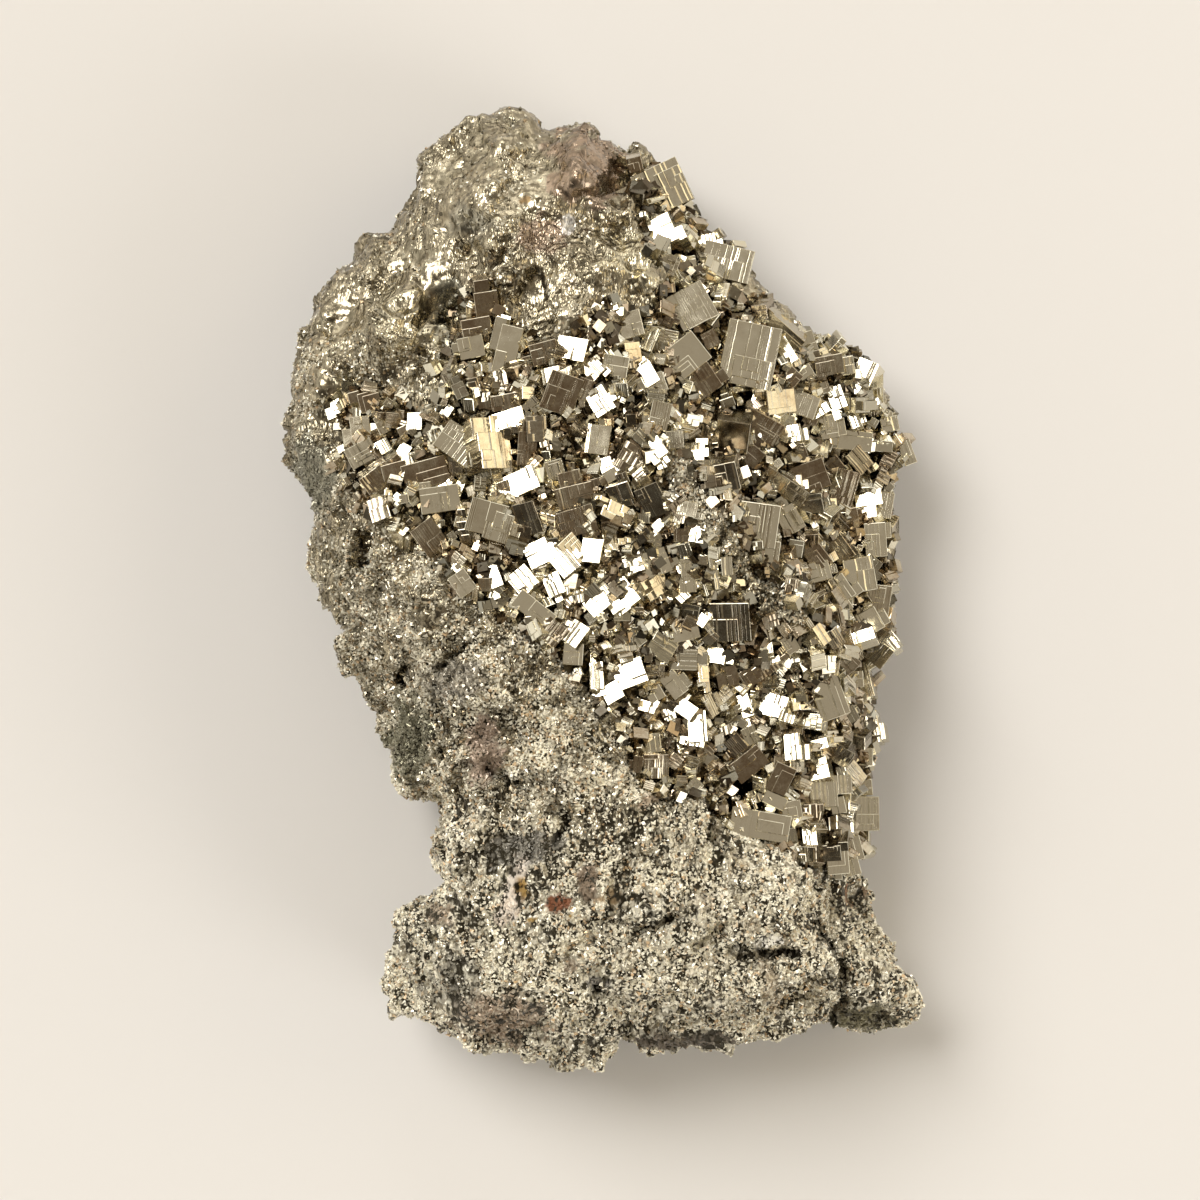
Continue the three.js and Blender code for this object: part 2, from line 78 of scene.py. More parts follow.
# Flat breaks across the lump: column, row, height, lean, direction, and the reach in millimetres
breaks = [
    (309, 512, 20, 60, 190, 40),
    (366, 680, 21, 56, 208, 34),
    (289, 402, 17, 64, 175, 30),
    (402, 975, 21, 54, 205, 30),
    (505, 1040, 22, 66, 258, 34),
    (710, 1040, 22, 62, 275, 36),
    (870, 1012, 19, 50, 288, 26),
    (890, 950, 20, 58, 25, 30),
    (440, 160, 19, 50, 140, 28),
    (560, 121, 19, 56, 85, 28),
    (672, 190, 18, 58, 48, 26),
    (890, 470, 14, 62, 8, 34),
    (862, 760, 18, 64, 352, 34),
    (330, 470, 5, 118, 190, 40),
    (600, 1030, 5, 120, 268, 44),
    (872, 600, 5, 116, 4, 44),
    (520, 150, 5, 122, 95, 40),
    (400, 950, 6, 124, 205, 34),
]
# Heights of the top: column, row, height
heights = [
    [430, 960, 40], [460, 1000, 40], [520, 930, 46], [560, 1000, 44], [620, 900, 49], [680, 960, 48],
    [760, 900, 47], [700, 1010, 44], [800, 980, 43], [860, 960, 37], [895, 1000, 31], [850, 915, 39],
    [560, 840, 50], [480, 860, 45], [640, 830, 50], [470, 760, 47], [420, 740, 41], [550, 740, 51],
    [500, 680, 49], [420, 660, 44], [380, 640, 37], [450, 600, 47], [380, 570, 41], [330, 560, 31],
    [340, 500, 35], [400, 500, 43], [560, 600, 48], [620, 660, 47], [520, 520, 46], [600, 520, 46],
    [680, 600, 45], [700, 700, 43], [760, 760, 41], [780, 820, 41], [840, 800, 34], [850, 720, 32],
    [800, 690, 36], [740, 680, 40], [655, 440, 47], [700, 490, 49], [740, 545, 49], [790, 600, 48],
    [825, 635, 43], [720, 420, 36], [760, 380, 32], [780, 460, 32], [820, 400, 26], [850, 450, 23],
    [800, 520, 31], [850, 560, 24], [780, 540, 33], [830, 590, 29], [870, 610, 23], [870, 500, 21],
    [560, 440, 44], [500, 460, 43], [440, 460, 40], [370, 450, 35], [320, 440, 27], [330, 390, 28],
    [380, 350, 34], [470, 400, 42], [470, 330, 38], [440, 320, 29], [400, 330, 34], [560, 380, 44],
    [620, 400, 44], [660, 360, 39], [600, 320, 42], [640, 280, 40], [690, 300, 32], [740, 350, 30],
    [700, 250, 25], [570, 280, 40], [520, 280, 36], [540, 220, 36], [480, 200, 34], [460, 160, 28],
    [500, 140, 27], [560, 150, 30], [590, 180, 33], [620, 220, 34], [660, 190, 25], [430, 220, 28],
    [380, 270, 24], [350, 310, 23],
]
# Lumps and hollows: column, row, radius, rise in millimetres
lumps = [
    [395, 320, 42, 3.5], [500, 235, 40, 3], [575, 175, 34, 3], [505, 150, 36, 2.5], [600, 262, 36, 3],
    [648, 275, 28, 2.5], [465, 395, 30, 3], [325, 450, 26, 2.5], [315, 385, 24, 2.5], [345, 560, 34, 2.5],
    [400, 600, 40, 2.2], [470, 690, 46, 2.4], [405, 745, 32, 3.2], [560, 770, 60, 2.2],
    [470, 830, 34, 2.6], [430, 940, 42, 3], [560, 950, 52, 2.2], [660, 900, 48, 2], [600, 890, 24, 2.4],
    [760, 985, 52, 2.2], [870, 975, 40, 3.2], [790, 900, 44, 2], [520, 1020, 46, 1.8],
    [668, 1012, 36, 2.2], [455, 320, 20, -5], [619, 185, 18, -6], [598, 992, 16, -3],
    [500, 895, 20, -1.6], [620, 1000, 22, -3], [465, 250, 12, -2.5],
]
# Where the crystals grow, as two fields
crystalFields = [
    [
        [335, 395], [372, 385], [400, 392], [430, 430], [440, 400], [455, 300], [480, 285], [520, 330],
        [560, 345], [600, 300], [640, 320], [672, 275], [715, 290], [760, 300], [800, 330], [850, 345],
        [890, 420], [905, 450], [890, 500], [890, 640], [870, 690], [872, 790], [870, 830], [858, 870],
        [800, 870], [790, 850], [730, 830], [700, 800], [640, 790], [620, 735], [600, 710], [570, 670],
        [545, 650], [520, 630], [480, 600], [455, 590], [450, 570], [400, 530], [355, 500], [340, 470],
    ],
    [
        [632, 160], [690, 184], [698, 220], [742, 250], [740, 275], [700, 285], [650, 260], [640, 215],
    ],
]
# Granular ground between them
ridge = [
    [655, 440], [690, 460], [712, 500], [740, 545], [790, 600], [835, 640], [800, 640], [745, 600],
    [725, 560], [690, 520], [660, 470],
]

# Crystals, by how their faces look: column, row, width, height and turn of the face
crystals = {
    "bright": [
        [440, 482, 22, 14, 25], [458, 491, 9, 19, -20], [516, 484, 44, 26, 22], [528, 470, 16, 18, 20],
        [591, 551, 22, 25, -8], [560, 558, 22, 42, 40], [537, 553, 26, 26, 25], [522, 580, 24, 28, 40],
        [553, 585, 18, 24, 25], [494, 577, 13, 24, 21], [575, 634, 20, 25, -35], [596, 604, 22, 20, 40],
        [613, 603, 14, 22, 35], [626, 592, 15, 30, 37], [622, 608, 14, 13, 37], [632, 563, 20, 22, 20],
        [681, 595, 13, 15, 45], [685, 566, 20, 9, 35], [697, 530, 15, 26, -8], [606, 466, 14, 17, 20],
        [621, 467, 22, 15, -30], [657, 448, 14, 22, 35], [661, 464, 10, 12, 20], [691, 449, 26, 14, -2],
        [697, 461, 14, 24, 4], [703, 619, 10, 17, -35], [713, 655, 25, 17, -10], [753, 655, 40, 15, 14],
        [765, 645, 15, 20, 8], [769, 704, 34, 24, -17], [745, 706, 12, 24, 18], [785, 661, 16, 12, -25],
        [864, 680, 13, 36, 15], [857, 638, 36, 13, 17], [889, 640, 9, 26, 38], [792, 747, 17, 27, 5],
        [814, 746, 28, 11, 14], [817, 769, 22, 21, 12], [846, 804, 10, 21, 0], [809, 836, 15, 22, 8],
        [596, 676, 14, 28, 5], [602, 692, 28, 10, 12], [629, 674, 32, 26, 20], [612, 693, 20, 20, 28],
        [683, 662, 12, 13, 45], [682, 707, 30, 16, -35], [697, 727, 19, 32, 5], [684, 741, 42, 9, -9],
        [849, 826, 9, 18, 2], [863, 836, 12, 11, 0], [863, 375, 22, 32, -24], [785, 350, 14, 30, 30],
        [836, 397, 16, 24, 20], [866, 400, 13, 15, 15], [854, 419, 12, 20, 20], [820, 411, 20, 11, 30],
        [793, 433, 16, 18, 10], [649, 338, 14, 26, -20], [645, 376, 22, 24, 30], [599, 401, 22, 30, 32],
        [609, 305, 15, 14, 20], [570, 348, 32, 24, -12], [507, 419, 34, 20, 15], [551, 376, 20, 17, 10],
        [378, 448, 24, 15, 28], [401, 454, 14, 22, -30], [337, 405, 16, 15, 20], [865, 502, 20, 32, 8],
        [458, 565, 10, 17, -22], [662, 230, 24, 30, 24], [705, 242, 22, 16, 10], [872, 723, 12, 26, 10],
    ],
    "tan": [
        [440, 500, 40, 26, 8], [487, 519, 38, 34, -15], [498, 528, 26, 30, -17], [462, 584, 20, 24, 35],
        [534, 611, 44, 19, -38], [573, 655, 20, 22, -4], [655, 564, 30, 26, 20], [696, 570, 30, 22, 5],
        [714, 567, 9, 25, 8], [727, 567, 11, 19, 5], [611, 476, 14, 12, 30], [687, 509, 20, 15, -12],
        [758, 526, 40, 44, -8], [679, 637, 42, 12, 14], [827, 691, 30, 58, 20], [855, 680, 17, 17, 5],
        [865, 814, 30, 34, 0], [760, 826, 60, 28, -10], [822, 795, 33, 26, 4], [792, 811, 20, 18, 10],
        [838, 806, 15, 17, 12], [775, 801, 24, 13, -25], [866, 757, 14, 18, -2], [865, 788, 15, 16, 5],
        [662, 188, 50, 46, 25], [692, 306, 40, 40, 28], [686, 357, 40, 34, 38], [750, 355, 54, 64, -12],
        [654, 385, 24, 20, 20], [660, 418, 20, 30, -12], [598, 440, 24, 30, -8], [630, 325, 24, 26, 15],
        [615, 367, 26, 22, -10], [505, 360, 22, 68, -14], [471, 348, 26, 22, 12], [459, 444, 42, 32, -35],
        [360, 427, 20, 22, 8], [361, 454, 30, 22, 28], [655, 695, 17, 15, 30], [672, 683, 18, 32, 38],
        [850, 858, 15, 38, 15], [838, 862, 22, 26, 5], [848, 440, 50, 20, -6], [829, 427, 18, 24, 10],
        [890, 424, 18, 15, 12], [907, 452, 13, 26, 20], [808, 345, 18, 26, 20], [847, 366, 15, 18, 10],
        [727, 262, 50, 34, -14], [690, 266, 14, 19, 10], [725, 648, 16, 12, 4], [803, 404, 30, 24, -20],
        [860, 575, 30, 34, 10], [878, 600, 26, 30, -8], [876, 540, 22, 34, 4], [790, 520, 22, 28, 30],
        [885, 505, 16, 26, -10], [818, 572, 26, 20, 15], [840, 590, 22, 26, 35], [870, 622, 22, 24, 30],
    ],
    "brown": [
        [380, 483, 32, 28, 36], [426, 475, 46, 28, 15], [434, 543, 26, 44, 37], [576, 498, 38, 24, 14],
        [577, 523, 38, 28, 16], [553, 634, 24, 24, -38], [728, 679, 22, 24, 12], [755, 676, 30, 20, 35],
        [781, 780, 22, 30, -25], [750, 766, 36, 24, 38], [657, 768, 26, 24, 0], [638, 766, 10, 18, -5],
        [848, 662, 24, 18, -45], [808, 813, 20, 15, 5], [684, 537, 20, 14, 0], [635, 457, 30, 20, -30],
        [528, 450, 20, 34, -5], [477, 328, 30, 18, 10], [487, 305, 24, 26, 8], [545, 354, 28, 22, 15],
        [505, 403, 28, 16, 10], [562, 395, 34, 40, -20], [761, 428, 44, 24, -30], [702, 383, 32, 30, 35],
        [830, 366, 30, 20, 10], [815, 555, 20, 34, 37], [792, 590, 14, 20, -8], [370, 402, 22, 20, 15],
        [811, 478, 34, 30, 20], [845, 488, 24, 36, -15],
    ],
    "dark": [
        [527, 520, 24, 34, 17], [621, 497, 24, 26, 20], [652, 503, 26, 34, 25], [730, 624, 40, 42, 3],
        [876, 654, 26, 24, -38], [840, 757, 24, 20, -30], [855, 743, 20, 14, -5], [803, 856, 26, 16, 0],
        [830, 856, 22, 18, 5], [808, 506, 30, 20, 10], [825, 608, 28, 22, 30], [783, 333, 14, 46, 48],
        [732, 438, 34, 34, -8], [690, 613, 18, 14, -10], [466, 535, 16, 26, 10], [784, 488, 50, 18, -35],
        [836, 545, 20, 40, 35], [725, 480, 26, 30, 12],
    ],
    "gold": [
        [497, 450, 36, 38, 6], [580, 558, 14, 10, 32], [572, 548, 22, 22, 40], [640, 588, 22, 12, -30],
        [661, 585, 20, 20, 32], [613, 541, 16, 20, 5], [713, 706, 14, 24, 28], [802, 704, 20, 13, 5],
        [854, 777, 25, 25, 45], [822, 635, 12, 22, 35], [704, 673, 12, 20, 4], [755, 797, 9, 14, 20],
        [782, 402, 34, 24, 8], [832, 558, 14, 10, 30], [840, 589, 14, 26, 35], [624, 512, 34, 12, -22],
        [834, 505, 10, 14, 5], [726, 490, 14, 22, 5],
    ],
}
# The lean of a face and the direction it leans to in degrees, how far that strays, its tone and its tarnish.
# The tone is partly painted light and shade: full on faces that look lit, darker on faces that look dark.
looks = {
    "bright": {"lean": 19, "towards": 135, "spread": 10, "toneAndShade": 1.0, "tarnish": 0.0},
    "tan": {"lean": 5, "towards": 60, "spread": 180, "toneAndShade": 0.95, "tarnish": 0.2},
    "brown": {"lean": 15, "towards": 300, "spread": 25, "toneAndShade": 0.8, "tarnish": 0.6},
    "dark": {"lean": 24, "towards": 235, "spread": 20, "toneAndShade": 0.7, "tarnish": 0.5},
    "gold": {"lean": 30, "towards": 20, "spread": 20, "toneAndShade": 0.95, "tarnish": 0.45},
}
sown = {
    "seed": 11,
    "attempts": 400,
    "smallest": 16,
    "largest": 24,
    "lean": 34,
    "spacing": 0.5,
    "keptSide": 14,  # placed crystals with a shorter side or a smaller area stay out of the solid
    "keptArea": 320,
}


def lerp(a, b, t):
    return a + (b - a) * t


# True for each place inside the polygon
def isInside(columns, rows, polygon):
    inside = np.zeros(np.shape(columns), bool)
    for (c0, r0), (c1, r1) in zip(polygon[-1:] + polygon[:-1], polygon):
        if r0 == r1:
            continue
        crosses = (r1 > rows) != (r0 > rows)
        inside ^= crosses & (columns < (c0 - c1) * (rows - r1) / (r0 - r1) + c1)
    return inside


# Millimetres from each place to the outline, 0 outside it
def insetAt(columns, rows):
    nearest = np.full(np.shape(columns), np.inf)
    for (c0, r0), (c1, r1) in zip(outline[-1:] + outline[:-1], outline):
        along = ((columns - c0) * (c1 - c0) + (rows - r0) * (r1 - r0)) / ((c1 - c0) ** 2 + (r1 - r0) ** 2)
        t = np.clip(along, 0, 1)
        nearest = np.minimum(nearest, np.hypot(columns - lerp(c0, c1, t), rows - lerp(r0, r1, t)))
    return np.where(isInside(columns, rows, outline), nearest * pointSize, 0)


def groundAt(columns, rows):
    total = np.zeros(np.shape(columns))
    weights = np.zeros(np.shape(columns))
    for c, r, height in heights:
        weight = ((columns - c) ** 2 + (rows - r) ** 2 + plan["softness"] ** 2) ** -2.0
        total += weight * height
        weights += weight
    ground = total / weights * (plan["lumpThickness"] / plan["tallest"])
    for c, r, radius, rise in lumps:
        near = np.clip(1 - ((columns - c) ** 2 + (rows - r) ** 2) / radius**2, 0, None)
        ground += rise * near**2
    return ground


# Height of each wave in millimetres, and how fast it runs across and down
rimWaves = {"broad": (2.4, 0.021, 0.017), "narrow": (1.2, 0.043)}


# The rim wanders up and down a little round the lump
def rimAt(columns, rows):
    broad, across, down = rimWaves["broad"]
    narrow, quickly = rimWaves["narrow"]
    rim = plan["rimHeight"] + broad * np.sin(columns * across) * np.cos(rows * down)
    return rim + narrow * np.sin(rows * quickly)


def surfaceAt(columns, rows):
    rolled = np.minimum(1, insetAt(columns, rows) / plan["rimRounding"])
    rim = rimAt(columns, rows)
    return rim + (groundAt(columns, rows) - rim) * np.sqrt(1 - (1 - rolled) ** 2)


# Millimetres in a point of the view, for what stands at a height
def scaleAt(height):
    return pointSize * (plan["eyeHeight"] - height) / (plan["eyeHeight"] - plan["rimHeight"])


# Places in the view at a height, as points in millimetres: what stands higher is drawn in
def pointAt(columns, rows, height):
    scale = scaleAt(height)
    middleColumn, middleRow = plan["viewMiddle"]
    flat = [(columns - middleColumn) * scale, (middleRow - rows) * scale, height + 0 * scale]
    return np.stack(np.broadcast_arrays(*flat), axis=-1)


# A direction that leans away from straight up, towards an angle anticlockwise from the right
def leaning(lean, towards):
    level = math.sin(math.radians(lean))
    angle = math.radians(towards)
    return np.array([level * math.cos(angle), level * math.sin(angle), math.cos(math.radians(lean))])


# Moves points that stand outside a flat break onto it
def broken(points):
    moved = points.copy()
    for column, row, height, lean, towards, reach in breaks:
        outward = leaning(lean, towards)
        away = moved - pointAt(column, row, height)
        fade = np.clip(2 - 2 * np.linalg.norm(away, axis=-1) / reach, 0, 1)
        moved -= (fade * np.clip(away @ outward, 0, None))[..., None] * outward
    return np.where(points[..., 2:] == 0, points, moved)


# Numbers from 0 to 1, the same ones as in the solid
def seededRandom(seed):
    state = seed

    def draw():
        nonlocal state
        state = (state + 0x6D2B79F5) & 0xFFFFFFFF
        mixed = ((state ^ (state >> 15)) * (1 | state)) & 0xFFFFFFFF
        mixed = (mixed + ((mixed ^ (mixed >> 7)) * (61 | mixed) & 0xFFFFFFFF) & 0xFFFFFFFF) ^ mixed
        return (mixed ^ (mixed >> 14)) / 4294967296

    return draw


# How the lean and direction of the given crystals vary, and the shape and colour of those between
unevenness = {
    "lean": 3,  # degrees
    "leanWave": 1.7,
    "towardsWave": 2.4,
    "oblong": (0.7, 1.3),
    "toneAndShade": (0.6, 0.4, 3.1),  # least, added at most, wave
    "tarnish": (0.7, 1.3),  # most, wave
}


def placedCrystals():
    placed = []
    for look, faces in crystals.items():
        values = looks[look]
        for column, row, width, height, turn in faces:
            placed.append({
                "column": column, "row": row, "width": width, "height": height, "turn": turn,
                "lean": values["lean"] + unevenness["lean"] * math.cos(column + row * unevenness["leanWave"]),
                "towards": values["towards"]
                + values["spread"] * math.sin(column * unevenness["towardsWave"] + row),
                "toneAndShade": values["toneAndShade"], "tarnish": values["tarnish"],
            })
    return placed


def fieldMask(columns, rows):
    inside = np.zeros(np.shape(columns), bool)
    for field in crystalFields:
        inside |= isInside(columns, rows, field)
    return inside & ~isInside(columns, rows, ridge)


def crowded(others, column, row, width, spacing):
    return any(
        math.hypot(other["column"] - column, other["row"] - row)
        < spacing * (min(other["width"], other["height"]) + width)
        for other in others
    )


# Crystals in the gaps between those that are given
def sownCrystals(given, values):
    draw = seededRandom(values["seed"])
    found = []
    corners = np.concatenate([np.array(field, float) for field in crystalFields])
    low = corners.min(axis=0)
    high = corners.max(axis=0)
    leastTone, moreTone, toneWave = unevenness["toneAndShade"]
    mostTarnish, tarnishWave = unevenness["tarnish"]
    for _ in range(values["attempts"]):
        column = lerp(low[0], high[0], draw())
        row = lerp(low[1], high[1], draw())
        width = lerp(values["smallest"], values["largest"], draw() ** 2)
        height = width * lerp(*unevenness["oblong"], draw())
        turn = 90 * draw()
        lean = values["lean"] * math.sqrt(draw())
        towards = 360 * draw()
        if fieldMask(column, row) and not crowded(given + found, column, row, width, values["spacing"]):
            found.append({
                "column": column, "row": row, "width": width, "height": height, "turn": turn,
                "lean": lean, "towards": towards,
                "toneAndShade": leastTone + moreTone * math.sin(column * toneWave) ** 2,
                "tarnish": mostTarnish * math.sin(row * tarnishWave) ** 2,
            })
    return found


# The lump of granular pyrite
rock = {
    "rings": 44,  # over the top
    "underRings": 14,  # from the rim down to the flat back
    "stepsPerEdge": 3,  # the outline is cut finer by this
    "smoothing": 3,  # points to each side that smooth the outline
    "innermost": 0.004,  # share of the way from the spine to the outline
    "flatRings": (0.3, 0.6, 0.84),
    "underside": ((0, 0.84), (0.2, 0.91), (0.55, 0.965), (1, 1)),  # height up to the rim, and reach
    "crowding": 0.8,  # of the rings over the top, towards the rim
    "voxel": 0.66,  # millimetres, of the even mesh that the facets are cut in
    "blocks": (6.5, 0.3, 0.6),  # size in millimetres, tilt of the facets, step between them
    "chips": (2.3, 0.4, 0.2),
    "crumbs": (0.95, 0.3, 0.06),
    "cellWave": 3.7,  # picks the way each facet leans
    "smoothHead": 0.35,  # how much of the chips and crumbs is left there
    "roughFrom": (430, 150),  # row where they come in, and over how many rows
    "fieldSink": 1.1,  # how far the ground lies lower between the crystals
    "flatBack": 0.35,  # millimetres, below which the mesh is part of the back
    "facingDown": -0.9,  # up to twice as high where the normal's z is below this
}
# Ledges that run down to the right across the lower half
ledges = {
    "size": (6.5, 0.5),  # width and height in millimetres
    "across": (0.82, 0.57),
    "wander": (1.6, 0.11),  # of a width, and waves per millimetre
    "from": (540, 120),
    "tread": 0.85,  # share of the width that rises slowly
    "drop": 0.15,  # and the share that falls again
    "sink": 0.4,  # of the height, how much lower they lie
}
openingEdge = {"bend": (0.25, 2.1), "reach": 1.5, "ramp": 0.5}  # in millimetres, then in half widths
# Cracks, cavities and pits: column, row, length, width, turn, depth in millimetres
openings = [
    (746, 951, 4.0, 1.2, -12, 3.5), (768, 957, 7.4, 1.5, 4, 4.5), (830, 947, 9, 0.8, -58, 3),
    (843, 985, 6, 0.9, -88, 3.4), (838, 1008, 4, 1, 60, 3.4), (363, 550, 4, 1.8, 78, 4.5),
    (618, 184, 5, 3.6, 60, 4.5), (742, 797, 4.2, 3.8, 8, 5), (404, 674, 3, 1.6, 70, 3),
    (748, 397, 4.6, 3.2, 30, 4), (645, 742, 3, 2, 10, 3.5), (602, 985, 2.8, 1.3, 30, 2.6),
    (520, 885, 4.5, 1.4, -70, 1.6), (455, 655, 5, 1, 35, 2.2),
    (508, 780, 6, 1, -25, 2.2), (655, 925, 5.5, 0.9, 20, 2.2), (560, 835, 4, 1.1, 60, 2.4),
]


# The outline cut finer, and the same with its notches averaged away
def outlineRings():
    sharp = np.array(outline, float)
    span = range(-rock["smoothing"], rock["smoothing"] + 1)
    smooth = sum(np.roll(sharp, -step, axis=0) for step in span) / len(span)
    parts = np.arange(rock["stepsPerEdge"]) / rock["stepsPerEdge"]
    finer = []
    for ring in (sharp, smooth):
        following = np.roll(ring, -1, axis=0)
        finer.append(lerp(ring[:, None], following[:, None], parts[None, :, None]).reshape(-1, 2))
    return finer


def loftLump():
    sharp, smooth = outlineRings()
    nodes = np.array(spine, float)
    middle = np.stack([
        np.interp(sharp[:, 1], nodes[:, 1], nodes[:, 0]), np.clip(sharp[:, 1], nodes[0, 1], nodes[-1, 1]),
    ], axis=-1)
    innermost = rock["innermost"]
    underRises, underReaches = np.array(rock["underside"]).T
    rings = []

    def addRing(reach, heightAt):
        detail = np.clip((reach - plan["fadeFrom"]) / (1 - plan["fadeFrom"]), 0, 1)
        places = lerp(middle, lerp(smooth, sharp, detail), reach)
        columns, rows = places[:, 0], places[:, 1]
        rings.append(broken(pointAt(columns, rows, heightAt(columns, rows))))

    for reach in (innermost, *rock["flatRings"]):
        addRing(reach, lambda columns, rows: 0 * rows)
    for rise in np.linspace(0, 1, rock["underRings"])[1:]:
        addRing(np.interp(rise, underRises, underReaches), lambda columns, rows: rise * rimAt(columns, rows))
    for step in np.linspace(0, 1, rock["rings"])[1:]:
        addRing(innermost + (1 - innermost) * math.cos(step * math.pi / 2) ** rock["crowding"], surfaceAt)
    count = len(sharp)
    points = np.concatenate(rings)
    faces = []
    for ring in range(len(rings) - 1):
        for index in range(count):
            following = (index + 1) % count
            low = ring * count
            faces.append((low + following, low + index, low + count + index, low + count + following))
    faces.append(tuple(range(count)))
    faces.append(tuple(reversed(range(len(points) - count, len(points)))))
    return points, faces


def addObject(name, data):
    made = bpy.data.objects.new(name, data)
    bpy.context.scene.collection.objects.link(made)
    return made


def meshObject(name, points, faces):
    mesh = bpy.data.meshes.new(name)
    mesh.from_pydata((points * mm).tolist(), [], faces)
    mesh.update()
    return addObject(name, mesh)


# Leaves the piece as a plain mesh of what its modifiers made
def applyModifiers(piece):
    depsgraph = bpy.context.evaluated_depsgraph_get()
    made = bpy.data.meshes.new_from_object(piece.evaluated_get(depsgraph))
    piece.modifiers.clear()
    old = piece.data
    piece.data = made
    bpy.data.meshes.remove(old)
    made.name = piece.name


def readPoints(mesh, what="co"):
    values = np.zeros(len(mesh.vertices) * 3, np.float32)
    source = mesh.vertices if what == "co" else mesh.vertex_normals
    source.foreach_get("co" if what == "co" else "vector", values)
    return values.reshape(-1, 3).astype(float)


def addPointValues(mesh, name, values, kind="FLOAT"):
    attribute = mesh.attributes.new(name, kind, "POINT")
    field = "value" if kind == "FLOAT" else "color"
    attribute.data.foreach_set(field, np.asarray(values, np.float32).ravel())


# The column and row that a point in millimetres has in the view
def placeOf(points):
    scale = scaleAt(points[:, 2])
    middleColumn, middleRow = plan["viewMiddle"]
    return points[:, 0] / scale + middleColumn, middleRow - points[:, 1] / scale


# Broken facets: in each cell of the rock the surface follows a plane of its own
def facets(points, size, tilt, step):
    rise = np.zeros(len(points))
    for index, point in enumerate(points):
        middle = noise.voronoi(Vector(point / size))[1][0]
        along = Vector(noise.cell_vector(middle * rock["cellWave"]))
        away = Vector(point / size) - middle
        lean = (along - Vector((0.5, 0.5, 0.5))).dot(away)
        rise[index] = size * tilt * 2 * lean + step * (along[0] - 0.5) * 2
    return rise


def noiseAt(points, wave):
    return np.array([noise.noise(Vector(point * wave)) for point in points])


# From 0 to 1, over a number of rows from the first on
def comingIn(rows, first, span):
    return (rows - first) / span


def ledgesAt(points, rows):
    width, height = ledges["size"]
    acrossX, acrossY = ledges["across"]
    wander, wave = ledges["wander"]
    tread = ledges["tread"]
    across = (points[:, 0] * acrossX + points[:, 1] * acrossY) / width
    part = (across + wander * noiseAt(points, wave)) % 1
    lower = np.clip(comingIn(rows, *ledges["from"]), 0, 1) * (points[:, 2] > plan["rimHeight"])
    drop = np.clip((part - tread) / ledges["drop"], 0, 1)
    return lower * height * (np.clip(part / tread, 0, 1) - drop - ledges["sink"])


# Distances along and aside of a line that is turned from the right, anticlockwise
def turnedTo(turn, across, up):
    angle = math.radians(turn)
    along = across * math.cos(angle) + up * math.sin(angle)
    return along, -across * math.sin(angle) + up * math.cos(angle)


def cutOpenings(points):
    columns, rows = placeOf(points)
    sunk = np.zeros(len(points))
    bend, wave = openingEdge["bend"]
    ramp = openingEdge["ramp"]
    for column, row, length, width, turn, depth in openings:
        along, aside = turnedTo(turn, (columns - column) * pointSize, (row - rows) * pointSize)
        bent = np.abs(aside + bend * np.sin(along * wave))
        reach = np.maximum(np.abs(along) / (length / 2), bent / (width / 2))
        sunk = np.maximum(sunk, depth * np.clip(openingEdge["reach"] - reach, 0, ramp) / ramp)
    upper = points[:, 2] > plan["rimHeight"]
    moved = points.copy()
    moved[:, 2] -= np.where(upper, sunk, 0)
    return moved, np.where(upper, np.clip(sunk / 2, 0, 1), 0)


lumpPoints, lumpFaces = loftLump()
lump = meshObject("granular_pyrite", lumpPoints, lumpFaces)
remesh = lump.modifiers.new("evenMesh", "REMESH")
remesh.mode = "VOXEL"
remesh.voxel_size = rock["voxel"] * mm
applyModifiers(lump)
points = readPoints(lump.data) / mm
normals = readPoints(lump.data, "normal")
lumpColumns, lumpRows = placeOf(points)
inField = fieldMask(lumpColumns, lumpRows) & (points[:, 2] > plan["rimHeight"])
facingDown = normals[:, 2] < rock["facingDown"]
onBack = (points[:, 2] < rock["flatBack"]) | ((points[:, 2] < 2 * rock["flatBack"]) & facingDown)
rough = np.clip(comingIn(lumpRows, *rock["roughFrom"]), rock["smoothHead"], 1)
rise = facets(points, *rock["blocks"])
rise += rough * (facets(points, *rock["chips"]) + facets(points, *rock["crumbs"]))
rise += ledgesAt(points, lumpRows)
rise -= rock["fieldSink"] * inField
points += normals * np.where(onBack, 0, rise)[:, None]
points, openingMask = cutOpenings(points)
points[:, 2] = np.where(onBack, 0, np.maximum(points[:, 2], 0))
lump.data.vertices.foreach_set("co", (points * mm).astype(np.float32).ravel())
lump.data.polygons.foreach_set("use_smooth", np.ones(len(lump.data.polygons), bool))
lump.data.update()
print("lump:", len(points), "points")


# The cube crystals
growth = {
    "seed": 5,
    "bevel": 0.07,  # millimetres
    "bevelLimit": 0.3,  # of half the shortest side
    "terraces": ((0, 2), (1, 4)),  # least, and one more than most, on small and on large crystals
    "terraceRise": (0.1, 0.3),
    "terraceShare": (0.45, 0.85),
    "largeFrom": 2,  # millimetres
    "twins": (0, 1, 1, 2),  # smaller blocks grown beside a crystal, picked at random
    "twinScale": (0.35, 0.65),
    "twinOblong": (0.8, 1.3),
    "twinSlide": 0.4,
    "twinOut": 0.22,
    "twinDepth": (0.15, 0.5),
    "twinTone": (0.75, 1.1),
    "twinLines": (0, 0.5),
    "lineBias": 1.3,
    "lineShift": 37,  # so that no two crystals have the same growth lines
    "standProud": 0.6,
    "proudShare": 0.3,
    "thickness": 0.95,
    "leastRoot": 2.4,
}
smallSown = {"seed": 23, "attempts": 5200, "smallest": 6, "largest": 16, "lean": 44, "spacing": 0.36}

cornerSigns = np.array([(x, y, z) for x in (-1, 1) for y in (-1, 1) for z in (-1, 1)])


